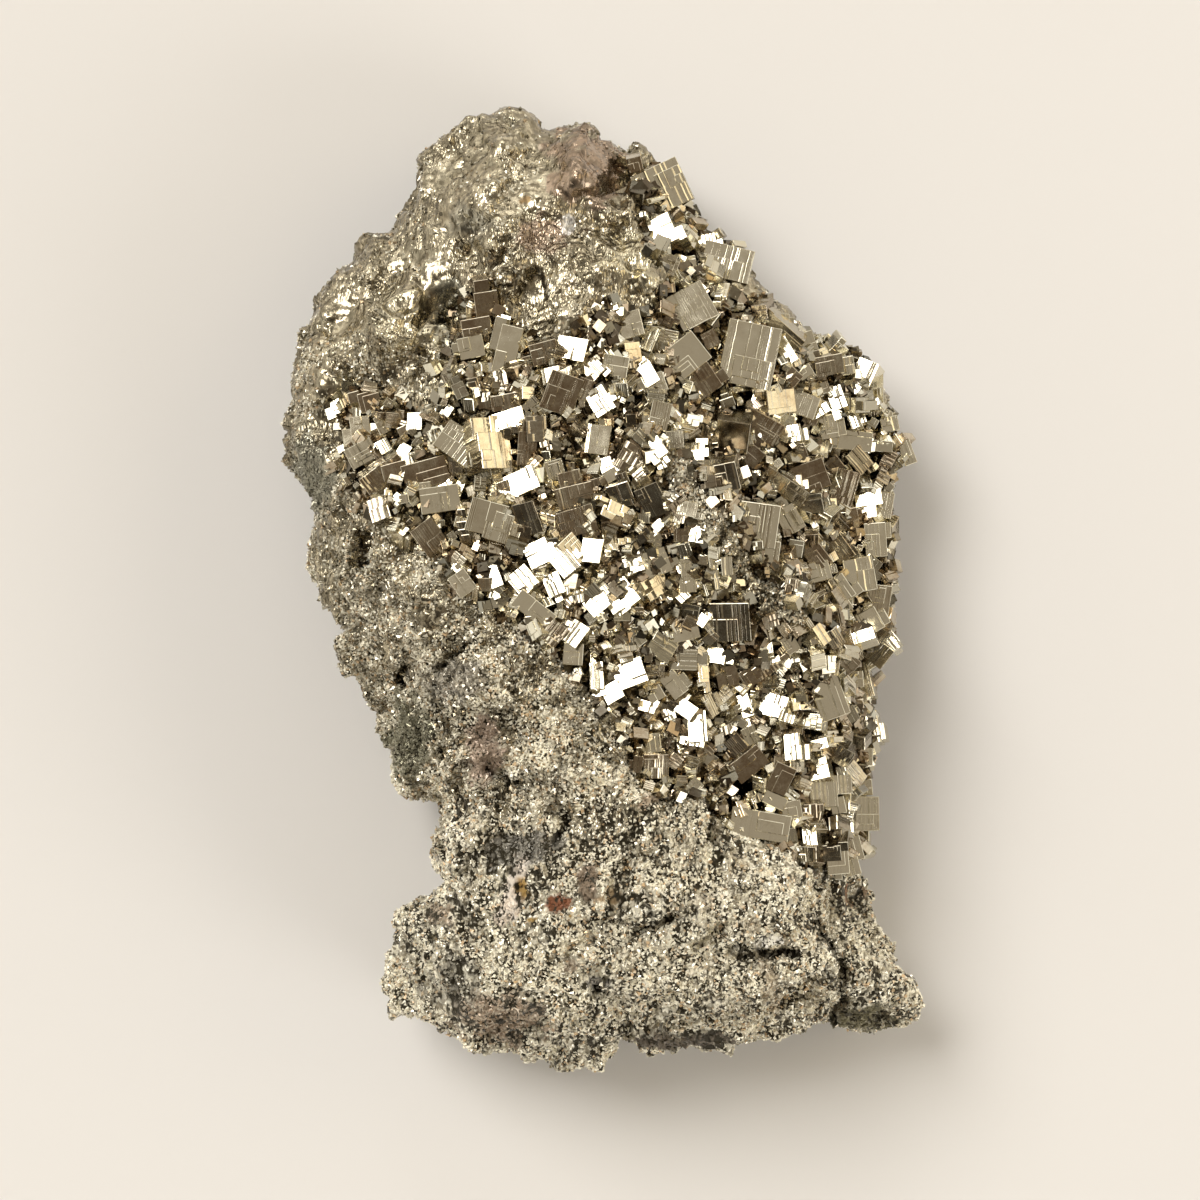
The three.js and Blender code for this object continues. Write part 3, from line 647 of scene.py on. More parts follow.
# A block with its edges cut off, as 24 points and 26 faces. The cut is one unit wide.
def bevelledBlock():
    points = []
    owners = []
    for corner in cornerSigns:
        for axis in range(3):
            inset = np.ones(3)
            inset[axis] = 0
            points.append((corner, corner * inset))
            owners.append((tuple(corner), axis))
    faces = []
    for axis in range(3):
        for sign in (-1, 1):
            ring = [k for k, (corner, own) in enumerate(owners) if own == axis and corner[axis] == sign]
            faces.append(orderedFace(ring, points))
    for corner in cornerSigns:
        faces.append(orderedFace([k for k, (own, _) in enumerate(owners) if own == tuple(corner)], points))
    for axis in range(3):
        others = [a for a in range(3) if a != axis]
        for first in (-1, 1):
            for second in (-1, 1):
                edge = [
                    k for k, (corner, own) in enumerate(owners)
                    if own != axis and corner[others[0]] == first and corner[others[1]] == second
                ]
                faces.append(orderedFace(edge, points))
    return np.array([p[0] for p in points], float), np.array([p[1] for p in points], float), faces


# The points of a face in order round it, so that it faces outwards
def orderedFace(indices, points, cut=0.2):
    places = np.array([points[k][0] - cut * points[k][1] for k in indices])
    middle = places.mean(axis=0)
    outward = middle / np.linalg.norm(middle)
    side = places[0] - middle
    side /= np.linalg.norm(side)
    up = np.cross(outward, side)
    angles = [math.atan2((p - middle) @ up, (p - middle) @ side) for p in places]
    return tuple(indices[k] for k in np.argsort(angles))


blockCorners, blockInsets, blockFaces = bevelledBlock()


# Gathers blocks, with a place across and along the growth lines and a look for every point
class BlockStore:
    def __init__(self):
        self.points = []
        self.faces = []
        self.lines = []
        self.looks = []
        self.count = 0

    def add(self, turned, middle, size, bevel, look):
        half = np.array(size) / 2
        local = blockCorners * half - blockInsets * min(bevel, growth["bevelLimit"] * half.min())
        self.points.append(local @ turned.T + middle)
        shift = look[3] * growth["lineShift"]
        for face in blockFaces:
            self.faces.append(tuple(k + self.count for k in face))
            corners = local[list(face)]
            normal = np.cross(corners[1] - corners[0], corners[2] - corners[0])
            axis = int(np.argmax(np.abs(normal)))
            across, along = {0: (1, 2), 1: (2, 0), 2: (0, 1)}[axis]
            places = (corners[:, across] + shift, corners[:, along] + shift * axis)
            self.lines.append(np.stack(places, axis=-1))
        self.looks.append(np.tile(look, (len(local), 1)))
        self.count += len(local)

    def build(self, name):
        piece = meshObject(name, np.concatenate(self.points), self.faces)
        lineMap = piece.data.uv_layers.new(name="growthLines")
        lineMap.data.foreach_set("uv", np.concatenate(self.lines).astype(np.float32).ravel())
        addPointValues(piece.data, "look", np.concatenate(self.looks), "FLOAT_COLOR")
        return piece


def rotation(lean, towards, turn):
    turned = (
        Matrix.Rotation(math.radians(towards), 3, "Z")
        @ Matrix.Rotation(math.radians(lean), 3, "Y")
        @ Matrix.Rotation(math.radians(turn - towards), 3, "Z")
    )
    return np.array(turned)


# A block with a terrace or two on its outer face, and smaller blocks grown beside it, turned alike
def addCrystal(store, crystal, draw):
    column, row = crystal["column"], crystal["row"]
    narrow = min(crystal["width"], crystal["height"]) * pointSize
    proud = growth["standProud"] + growth["proudShare"] * narrow
    thickness = max(growth["thickness"] * narrow, proud + growth["leastRoot"])
    top = float(surfaceAt(np.array(column), np.array(row))) + proud
    middle = pointAt(np.array(column), np.array(row), np.array(top))
    width, height = crystal["width"] * scaleAt(top), crystal["height"] * scaleAt(top)
    turned = rotation(crystal["lean"], crystal["towards"], crystal["turn"])
    look = np.array([crystal["toneAndShade"], crystal["tarnish"], draw.random() ** growth["lineBias"], draw.random()])

    def put(x, y, z, size, own):
        store.add(turned, middle + turned @ np.array([x, y, z]), size, growth["bevel"], own)

    few, many = growth["terraces"]
    terraces = int(draw.integers(*(many if narrow > growth["largeFrom"] else few)))
    spanX, spanY = width, height
    midX = midY = 0
    levels = [(spanX, spanY, midX, midY)]
    for _ in range(terraces):
        newX = spanX * draw.uniform(*growth["terraceShare"])
        newY = spanY * draw.uniform(*growth["terraceShare"])
        midX += draw.choice([-1, 1]) * (spanX - newX) / 2
        midY += draw.choice([-1, 1]) * (spanY - newY) / 2
        spanX, spanY = newX, newY
        levels.append((spanX, spanY, midX, midY))
    rises = [0] + [draw.uniform(*growth["terraceRise"]) for _ in range(terraces)]
    level = -sum(rises)
    for (spanX, spanY, midX, midY), rise in zip(levels, rises):
        level += rise
        put(midX, midY, (level - thickness) / 2, (spanX, spanY, thickness + level), look)
    for _ in range(int(draw.choice(growth["twins"]))):
        share = draw.uniform(*growth["twinScale"])
        side = math.radians(90 * draw.integers(0, 4))
        slide = draw.uniform(-growth["twinSlide"], growth["twinSlide"])
        sizeX, sizeY = width * share, height * share * draw.uniform(*growth["twinOblong"])
        out = growth["twinOut"]
        x = math.cos(side) * (width / 2 + sizeX * out) + abs(math.sin(side)) * slide * width
        y = math.sin(side) * (height / 2 + sizeY * out) + abs(math.cos(side)) * slide * height
        depth = draw.uniform(*growth["twinDepth"]) * narrow
        own = look * np.array([draw.uniform(*growth["twinTone"]), 1, 1, 1])
        own += np.array([0, 0, 0, draw.uniform(*growth["twinLines"])])
        put(x, y, -depth - thickness / 2, (sizeX, sizeY, thickness), own)


given = placedCrystals()
slight = [
    crystal for crystal in given
    if min(crystal["width"], crystal["height"]) < sown["keptSide"]
    or crystal["width"] * crystal["height"] < sown["keptArea"]
]
kept = [crystal for crystal in given if crystal not in slight]
large = kept + sownCrystals(kept, sown)
draw = np.random.default_rng(growth["seed"])


def growPiece(name, group):
    store = BlockStore()
    for crystal in group:
        addCrystal(store, crystal, draw)
    return store.build(name)


largeCrystals = growPiece("large_crystals", large + slight)
smaller = sownCrystals(large + slight, smallSown)
smallCrystals = growPiece("small_crystals", smaller)
print("crystals:", len(large) + len(slight), "large and", len(smaller), "small")


# Colours of the granular ground, two of them painted shade: column, row, two radii, turn, colour, amount, and
# how dull it is
stainsAndShade = [
    (585, 170, 40, 48, 0, (0.42, 0.29, 0.2), 0.75, 0.05),
    (540, 235, 28, 22, 0, (0.38, 0.25, 0.17), 0.7, 0.05),
    (525, 200, 7, 6, 0, (0.5, 0.27, 0.06), 0.7, 0.5), (490, 262, 9, 7, 0, (0.3, 0.2, 0.1), 0.5, 0.2),
    (432, 470, 9, 7, 0, (0.5, 0.22, 0.06), 0.8, 0.7),
    (455, 680, 32, 24, 10, (0.34, 0.31, 0.27), 0.6, 0.2),
    (485, 752, 21, 40, 0, (0.5, 0.38, 0.29), 0.8, 0.45),
    (520, 850, 48, 20, 8, (0.19, 0.18, 0.165), 0.7, 0.15),
    (511, 898, 12, 40, -14, (0.9, 0.8, 0.68), 1.0, 1.0), (523, 890, 6, 9, 0, (0.6, 0.38, 0.1), 0.9, 0.9),
    (557, 904, 17, 9, 5, (0.24, 0.055, 0.004), 0.85, 0.9),
    (572, 916, 4, 4, 0, (0.5, 0.3, 0.05), 0.8, 0.8), (533, 921, 5, 4, 0, (0.5, 0.3, 0.05), 0.8, 0.8),
    (590, 885, 14, 20, 0, (0.25, 0.18, 0.12), 0.85, 0.3),
    (611, 896, 10, 11, 0, (0.5, 0.36, 0.2), 0.9, 0.6),
    (440, 918, 16, 14, 0, (0.22, 0.1, 0.035), 0.6, 0.5),
    (498, 1018, 52, 28, -8, (0.27, 0.13, 0.055), 0.62, 0.25),
    (455, 982, 30, 28, 0, (0.2, 0.195, 0.17), 0.55, 0.1),
    (569, 965, 8, 12, 0, (0.24, 0.12, 0.05), 0.6, 0.4),
    (772, 990, 14, 34, 10, (0.34, 0.2, 0.08), 0.5, 0.3),
    (735, 860, 18, 12, 0, (0.4, 0.27, 0.1), 0.5, 0.2),
    (747, 928, 10, 14, 0, (0.36, 0.22, 0.08), 0.55, 0.3),
    (854, 894, 12, 13, 0, (0.3, 0.16, 0.08), 0.9, 0.5),
    (310, 485, 26, 50, -8, (0.24, 0.23, 0.17), 0.75, 0.1),
    (450, 312, 26, 32, 0, (0.26, 0.25, 0.19), 0.7, 0.05),
    (410, 742, 26, 46, 0, (0.2, 0.19, 0.12), 0.75, 0.1),
    # painted shade: dark bands along the lower lip, whose side faces away from the light
    (680, 1041, 52, 10, 3, (0.14, 0.11, 0.08), 0.9, 0.4),
    (862, 1018, 42, 14, 8, (0.18, 0.16, 0.09), 0.9, 0.4),
    (768, 943, 22, 6, 5, (0.85, 0.82, 0.76), 0.8, 0.7), (598, 984, 18, 6, 0, (0.85, 0.8, 0.72), 0.8, 0.7),
    (568, 223, 7, 11, 0, (0.95, 0.92, 0.86), 0.9, 0.3),
    (700, 935, 80, 55, 0, (0.97, 0.92, 0.76), 0.4, 0.1),
    (640, 258, 38, 26, 10, (0.84, 0.74, 0.5), 0.7, 0.0),
    (402, 318, 38, 34, 0, (0.84, 0.74, 0.5), 0.6, 0.0),
    (350, 390, 26, 22, 0, (0.8, 0.72, 0.48), 0.5, 0.0), (470, 225, 24, 20, 0, (0.3, 0.3, 0.25), 0.5, 0.1),
    (650, 800, 16, 10, 30, (0.34, 0.17, 0.07), 0.6, 0.6),
    (700, 905, 12, 12, 0, (0.32, 0.2, 0.1), 0.5, 0.5),
]
groundPaint = {
    "plain": (0.5, 0.46, 0.36, 0.0),
    # painted shade, darkening the ground between the crystals
    "shadeBetweenCrystals": (0.11, 0.085, 0.05, 0.6),  # with its amount last
    "wave": 0.32,  # per millimetre, of the uneven edges
    "fractal": (1.0, 2.0, 3),
    "reach": 1.1,
    "unevenness": 0.6,
    "edge": 3.5,
    "fade": (5, 0.8),  # down the sides, millimetres, and how much is left at the rim
}


# Stain colour and amount, and dullness, for every point of a piece, with painted shade on the ground between
# the crystals
def paintStainsAndShade(mesh, places):
    columns, rows = placeOf(places)
    colour = np.tile(groundPaint["plain"], (len(places), 1))
    # painted shade on the ground between the crystals
    colour[fieldMask(columns, rows)] = groundPaint["shadeBetweenCrystals"]
    dull = np.zeros(len(places))
    wave, fractal = groundPaint["wave"], groundPaint["fractal"]
    wander = np.array([noise.fractal(Vector(p * wave), *fractal) for p in places])
    fade, atRim = groundPaint["fade"]
    upper = np.clip((places[:, 2] - plan["rimHeight"]) / fade + atRim + wander, 0, 1)
    for column, row, radiusX, radiusY, turn, paint, amount, dullness in stainsAndShade:
        along, aside = turnedTo(turn, columns - column, row - rows)
        inner = groundPaint["reach"] - np.hypot(along / radiusX, aside / radiusY)
        near = np.clip((inner + groundPaint["unevenness"] * wander) * groundPaint["edge"], 0, 1)
        near = near * amount * upper
        colour[:, :3] = lerp(colour[:, :3], np.array(paint), near[:, None])
        colour[:, 3] = np.maximum(colour[:, 3], near)
        dull = np.maximum(dull, near * dullness)
    addPointValues(mesh, "stainAndShade", colour, "FLOAT_COLOR")
    addPointValues(mesh, "dull", dull)


def setSocket(tree, socket, value):
    if isinstance(value, bpy.types.NodeSocket):
        tree.links.new(value, socket)
    else:
        socket.default_value = value


def addNode(tree, kind, values=None, **settings):
    made = tree.nodes.new(kind)
    for key, value in settings.items():
        setattr(made, key, value)
    for key, value in (values or {}).items():
        setSocket(tree, made.inputs[key], value)
    return made


# A node group with its named inputs, with their defaults, and outputs
def newGroup(name, kind, inputs, outputs):
    tree = bpy.data.node_groups.new(name, kind)
    for inOut, sockets in (("INPUT", inputs), ("OUTPUT", outputs)):
        for title, form, *default in sockets:
            socket = tree.interface.new_socket(title, in_out=inOut, socket_type="NodeSocket" + form)
            if default:
                socket.default_value = default[0]
    return tree, addNode(tree, "NodeGroupInput").outputs


def mathNode(tree, operation, a, b=0.0, c=0.0, clamp=False):
    made = addNode(tree, "ShaderNodeMath", {0: a, 1: b, 2: c}, operation=operation, use_clamp=clamp)
    return made.outputs[0]


def vectorNode(tree, operation, a, b=(0, 0, 0), scale=1.0):
    made = addNode(tree, "ShaderNodeVectorMath", {0: a, 1: b, 3: scale}, operation=operation)
    return made.outputs["Value" if operation == "DOT_PRODUCT" else "Vector"]


def joined(tree, x, y, z):
    return addNode(tree, "ShaderNodeCombineXYZ", {0: x, 1: y, 2: z}).outputs[0]


grainShape = {"across": 0.75, "radius": 0.7, "sink": -0.35, "turn": 3.14}  # in sizes, the turn in radians


# Scatters grains over the faces of a mesh: small blocks turned every way, each with a look of its own
def scatterTree():
    tree, given = newGroup("scatterGrains", "GeometryNodeTree", [
        ("Geometry", "Geometry"), ("Density", "Float", 1000.0), ("Mask", "String"),
        ("Least Size", "Float", 0.0005), ("Most Size", "Float", 0.001), ("Longest", "Float", 1.0),
        ("Tilt", "Float", 3.14), ("Cubes", "Bool", False), ("Seed", "Int", 0), ("Material", "Material"),
    ], [("Geometry", "Geometry")])
    mask = addNode(tree, "GeometryNodeInputNamedAttribute", {"Name": given["Mask"]}, data_type="FLOAT")
    density = mathNode(tree, "MULTIPLY", given["Density"], mask.outputs["Attribute"])
    spread = addNode(tree, "GeometryNodeDistributePointsOnFaces", {
        "Mesh": given["Geometry"], "Density": density, "Seed": given["Seed"],
    }, distribute_method="RANDOM").outputs
    cube = addNode(tree, "GeometryNodeMeshCube", {"Size": (1, 1, 1)}).outputs["Mesh"]
    shard = addNode(tree, "GeometryNodeMeshCone", {
        "Vertices": 4, "Radius Bottom": grainShape["radius"], "Depth": 1.0}).outputs["Mesh"]
    lowered = addNode(tree, "GeometryNodeTransform", {
        "Geometry": shard, "Translation": (0, 0, grainShape["sink"])}).outputs[0]
    grain = addNode(tree, "GeometryNodeSwitch", {
        "Switch": given["Cubes"], "False": lowered, "True": cube}, input_type="GEOMETRY")

    def randomly(kind, low, high, seedStep):
        seed = mathNode(tree, "ADD", given["Seed"], seedStep)
        made = addNode(tree, "FunctionNodeRandomValue", {"Seed": seed}, data_type=kind)
        first = 0 if kind == "FLOAT_VECTOR" else 2
        setSocket(tree, made.inputs[first], low)
        setSocket(tree, made.inputs[first + 1], high)
        return made.outputs[first // 2]

    low = joined(tree, *[grainShape["across"]] * 3)
    form = randomly("FLOAT_VECTOR", low, joined(tree, 1.0, 1.0, given["Longest"]), 1)
    size = randomly("FLOAT", given["Least Size"], given["Most Size"], 2)
    furthest = (1, 1, grainShape["turn"])
    turn = randomly("FLOAT_VECTOR", tuple(-part for part in furthest), furthest, 3)
    turned = vectorNode(tree, "MULTIPLY", turn, joined(tree, given["Tilt"], given["Tilt"], 1.0))
    euler = addNode(tree, "FunctionNodeEulerToRotation", {0: turned})
    placed = addNode(tree, "FunctionNodeRotateRotation", {
        0: spread["Rotation"], 1: euler.outputs[0]}, rotation_space="LOCAL")
    grown = addNode(tree, "GeometryNodeInstanceOnPoints", {
        "Points": spread["Points"], "Instance": grain.outputs[0], "Rotation": placed.outputs[0],
        "Scale": vectorNode(tree, "SCALE", form, scale=size)})
    look = addNode(tree, "FunctionNodeCombineColor", {
        index: randomly("FLOAT", 0.0, 1.0, 4 + index) for index in range(4)})
    marked = addNode(tree, "GeometryNodeStoreNamedAttribute", {
        "Geometry": grown.outputs[0], "Name": "look", "Value": look.outputs[0],
    }, data_type="FLOAT_COLOR", domain="INSTANCE")
    realized = addNode(tree, "GeometryNodeRealizeInstances", {0: marked.outputs[0]})
    finished = addNode(tree, "GeometryNodeSetMaterial", {
        0: realized.outputs[0], "Material": given["Material"]})
    addNode(tree, "NodeGroupOutput", {0: finished.outputs[0]})
    return tree


# Sets the named inputs of a geometry nodes modifier
def setInputs(modifier, values):
    for item in modifier.node_group.interface.items_tree:
        if item.item_type == "SOCKET" and item.in_out == "INPUT" and item.name in values:
            modifier[item.identifier] = values[item.name]


# Nodes that the materials use again and again
def mixColours(tree, amount, a, b, blend="MIX"):
    made = addNode(tree, "ShaderNodeMix", {0: amount, 6: a, 7: b}, data_type="RGBA", blend_type=blend)
    return made.outputs[2]


def noiseNode(tree, vector, scale, detail, roughness=0.5):
    values = {"Vector": vector, "Scale": scale, "Detail": detail, "Roughness": roughness}
    return addNode(tree, "ShaderNodeTexNoise", values).outputs


def mapped(tree, value, low, high, least=0.0, most=1.0, form="LINEAR"):
    values = {"Value": value, "From Min": low, "From Max": high, "To Min": least, "To Max": most}
    return addNode(tree, "ShaderNodeMapRange", values, interpolation_type=form).outputs[0]


def partsOf(tree, colour):
    return addNode(tree, "ShaderNodeSeparateColor", {0: colour}).outputs


def attributeNode(tree, name):
    return addNode(tree, "ShaderNodeAttribute", attribute_name=name).outputs


glitterShape = {"bendScale": 900.0, "bend": 0.0004}


# Grains in the surface: each cell of the texture has a shade and a tilt of its own
def glitterGroup():
    tree, given = newGroup("glitter", "ShaderNodeTree", [
        ("Vector", "Vector"), ("Grain Size", "Float", 0.0006), ("Tilt", "Float", 0.6),
    ], [("Normal", "Vector"), ("Shade", "Float")])
    scale = mathNode(tree, "DIVIDE", 1.0, given["Grain Size"])
    bent = noiseNode(tree, given["Vector"], glitterShape["bendScale"], 1.0)["Color"]
    shift = vectorNode(tree, "SCALE", bent, scale=glitterShape["bend"])
    place = vectorNode(tree, "ADD", given["Vector"], shift)
    cell = addNode(tree, "ShaderNodeTexVoronoi", {"Vector": place, "Scale": scale}).outputs["Color"]
    centred = vectorNode(tree, "SUBTRACT", cell, (0.5, 0.5, 0.5))
    tilt = vectorNode(tree, "SCALE", centred, scale=given["Tilt"])
    surface = addNode(tree, "ShaderNodeNewGeometry").outputs["Normal"]
    normal = vectorNode(tree, "NORMALIZE", vectorNode(tree, "ADD", surface, tilt))
    addNode(tree, "NodeGroupOutput", {0: normal, 1: partsOf(tree, cell)[0]})
    return tree


lineShape = {
    "driftScale": 0.5,
    "drift": 0.1,  # millimetres that a line wanders
    "broader": 0.3,
    "bare": 0.25,  # share of the broad bands without lines
    "depth": 0.0003,
}


# Growth lines: fine parallel steps across a crystal face
def growthLinesGroup():
    tree, given = newGroup("growthLines", "ShaderNodeTree", [
        ("Across", "Float", 0.0), ("Along", "Float", 0.0), ("Lines Per Mm", "Float", 3.0),
        ("Strength", "Float", 0.5),
    ], [("Normal", "Vector")])
    drift = addNode(tree, "ShaderNodeTexNoise", {
        "W": given["Along"], "Scale": lineShape["driftScale"], "Detail": 0.0}, noise_dimensions="1D")
    drifted = mathNode(tree, "MULTIPLY_ADD", drift.outputs[0], lineShape["drift"], given["Across"])

    def bandsOf(scale):
        values = {"W": drifted, "Scale": scale}
        bands = addNode(tree, "ShaderNodeTexVoronoi", values, voronoi_dimensions="1D").outputs
        return bands["Distance"], partsOf(tree, bands["Color"])[0]

    distance, steep = bandsOf(given["Lines Per Mm"])
    broad = bandsOf(mathNode(tree, "MULTIPLY", given["Lines Per Mm"], lineShape["broader"]))[1]
    slopes = mathNode(tree, "MULTIPLY", distance, mathNode(tree, "MULTIPLY", steep, steep))
    height = mathNode(tree, "MULTIPLY", slopes, mathNode(tree, "GREATER_THAN", broad, lineShape["bare"]))
    bump = addNode(tree, "ShaderNodeBump", {
        "Strength": given["Strength"], "Distance": lineShape["depth"], "Height": height})
    addNode(tree, "NodeGroupOutput", {0: bump.outputs[0]})
    return tree


tarnishShape = {"clouds": 420.0, "specks": 2600.0, "speckShare": 0.35, "even": 1.1, "edges": (-0.25, 0.55)}


# Tarnish: brass turning brown, in clouds and specks
def tarnishGroup():
    tree, given = newGroup("tarnish", "ShaderNodeTree", [
        ("Vector", "Vector"), ("Fresh", "Color", (0.75, 0.7, 0.55, 1)),
        ("Brown", "Color", (0.3, 0.2, 0.11, 1)), ("Amount", "Float", 0.5),
    ], [("Color", "Color")])
    cloud = noiseNode(tree, given["Vector"], tarnishShape["clouds"], 4.0, 0.6)[0]
    speck = noiseNode(tree, given["Vector"], tarnishShape["specks"], 2.0)[0]
    both = mathNode(tree, "ADD", cloud, mathNode(tree, "MULTIPLY", speck, tarnishShape["speckShare"]))
    amount = mathNode(tree, "SUBTRACT", given["Amount"], tarnishShape["even"])
    mask = mapped(tree, mathNode(tree, "ADD", both, amount), *tarnishShape["edges"], form="SMOOTHSTEP")
    addNode(tree, "NodeGroupOutput", {0: mixColours(tree, mask, given["Fresh"], given["Brown"])})
    return tree


crinkleShape = {
    "turn": (0.3, 0.2, -0.9),
    "stretch": (1.0, 0.32, 0.7),
    "roughness": 0.72,
    "pits": (1.6, -0.35),  # finer by this, and how high
    "patches": 130.0,
    "patchEdges": (0.4, 0.6),
    "patchDepths": (0.12, 1.3),
    "deepEdges": (0.39, 0.28),
}


# Crinkled metal: fine ridges and pits, with a mask of what lies deep, which the ground darkens as painted
# shade
def crinkleGroup():
    tree, given = newGroup("crinkle", "ShaderNodeTree", [
        ("Vector", "Vector"), ("Normal", "Vector"), ("Size", "Float", 0.0008), ("Depth", "Float", 0.0004),
    ], [("Normal", "Vector"), ("Deep", "Float")])
    scale = mathNode(tree, "DIVIDE", 1.0, given["Size"])
    turned = addNode(tree, "ShaderNodeMapping", {
        "Vector": given["Vector"], "Rotation": crinkleShape["turn"], "Scale": crinkleShape["stretch"]})
    ridges = noiseNode(tree, turned.outputs[0], scale, 3.0, crinkleShape["roughness"])[0]
    finer, high = crinkleShape["pits"]
    pits = addNode(tree, "ShaderNodeTexVoronoi", {
        "Vector": given["Vector"], "Scale": mathNode(tree, "MULTIPLY", scale, finer)})
    height = mathNode(tree, "MULTIPLY_ADD", pits.outputs["Distance"], high, ridges)
    broad = noiseNode(tree, given["Vector"], crinkleShape["patches"], 3.0)[0]
    patches = mapped(tree, broad, *crinkleShape["patchEdges"], *crinkleShape["patchDepths"])
    bump = addNode(tree, "ShaderNodeBump", {
        "Strength": 1.0, "Distance": mathNode(tree, "MULTIPLY", given["Depth"], patches),
        "Height": height, "Normal": given["Normal"]})
    # mask of the low places, for the painted shade in them
    deep = mapped(tree, height, *crinkleShape["deepEdges"])
    addNode(tree, "NodeGroupOutput", {0: bump.outputs[0], 1: deep})
    return tree


glitter = glitterGroup()
crinkle = crinkleGroup()
growthLines = growthLinesGroup()
tarnish = tarnishGroup()


def newMaterial(name):
    material = bpy.data.materials.new(name)
    material.use_nodes = True
    material.node_tree.nodes.clear()
    return material, material.node_tree


def useGroup(tree, group, values):
    return addNode(tree, "ShaderNodeGroup", values, node_tree=group).outputs


def finishMaterial(tree, values):
    shader = addNode(tree, "ShaderNodeBsdfPrincipled", values)
    addNode(tree, "ShaderNodeOutputMaterial", {0: shader.outputs[0]})


crystalLook = {
    "fresh": (0.79, 0.735, 0.575, 1),
    "brown": (0.42, 0.32, 0.21, 1),
    "cubeTone": (0.75, 0.15),  # how far the small cubes differ, and how dark they can get
    "worn": 700.0,
    "wornEdges": (0.3, 0.7),
    "roughness": (0.1, 0.26),
    "linesPerMm": 3.2,
    "lineStrength": 0.8,
}


def crystalMaterial(name, hasLines):
    material, tree = newMaterial(name)
    place = addNode(tree, "ShaderNodeTexCoord").outputs["Object"]
    toneAndShade, age, relief = partsOf(tree, attributeNode(tree, "look")["Color"])
    aged = useGroup(tree, tarnish, {
        "Vector": place, "Fresh": crystalLook["fresh"], "Brown": crystalLook["brown"], "Amount": age})
    if not hasLines:
        toneAndShade = mathNode(tree, "MULTIPLY_ADD", toneAndShade, *crystalLook["cubeTone"])
    # the tone darkens the colour, on the given crystals partly as painted shade
    grey = addNode(tree, "ShaderNodeCombineColor", {0: toneAndShade, 1: toneAndShade, 2: toneAndShade}).outputs[0]
    worn = noiseNode(tree, place, crystalLook["worn"], 3.0)[0]
    values = {
        "Base Color": mixColours(tree, 1.0, aged["Color"], grey, "MULTIPLY"), "Metallic": 1.0,
        "Roughness": mapped(tree, worn, *crystalLook["wornEdges"], *crystalLook["roughness"]),
    }
    if hasLines:
        lines = addNode(tree, "ShaderNodeUVMap", uv_map="growthLines")
        across, along, _ = addNode(tree, "ShaderNodeSeparateXYZ", {0: lines.outputs[0]}).outputs
        values["Normal"] = useGroup(tree, growthLines, {
            "Across": across, "Along": along, "Lines Per Mm": crystalLook["linesPerMm"],
            "Strength": mathNode(tree, "MULTIPLY", relief, crystalLook["lineStrength"])})["Normal"]
    finishMaterial(tree, values)
    return material


groundLook = {
    "light": (0.70, 0.62, 0.45, 1),
    "dark": (0.30, 0.255, 0.17, 1),
    "paleGrain": (1.0, 0.94, 0.76, 1),
    "darkGrain": (0.15, 0.12, 0.065, 1),
    "grainShade": 0.4,
    "paler": 0.55,  # how much paler on the foot
    "patches": 300,  # per metre, paler and darker clusters
    "patchEdges": (0.35, 0.62),
    "patchTones": (0.3, 1.2),
    "grainMetallic": (0.85, 0.1),  # of a dark and of a pale grain
    "speckles": 1500,  # per metre, where a stain is thin
    "stainStrength": 2.0,
    # painted shade in the low places of the crinkles, and the least share of it kept on the smooth head
    "deep": (0.05, 0.042, 0.026, 1),
    "leastPaintedShade": 0.4,
    "rusty": (0.62, 0.37, 0.15, 1),
    "rustyFrom": (0.82, 0.95, 0.0, 0.75),  # draws that count as rusty, and how much
    "specular": 0.25,
    "grainSize": 0.0006,
    "tilt": (0.08, 0.9),  # on the smooth head and on the grainy foot
    "crinkleSize": 0.0018,
    "crinkleDepth": 0.00085,
    "roughness": 0.2,
    "dullRoughness": 0.4,
    "metallic": 0.95,
    "paleMetallic": -0.5,
}


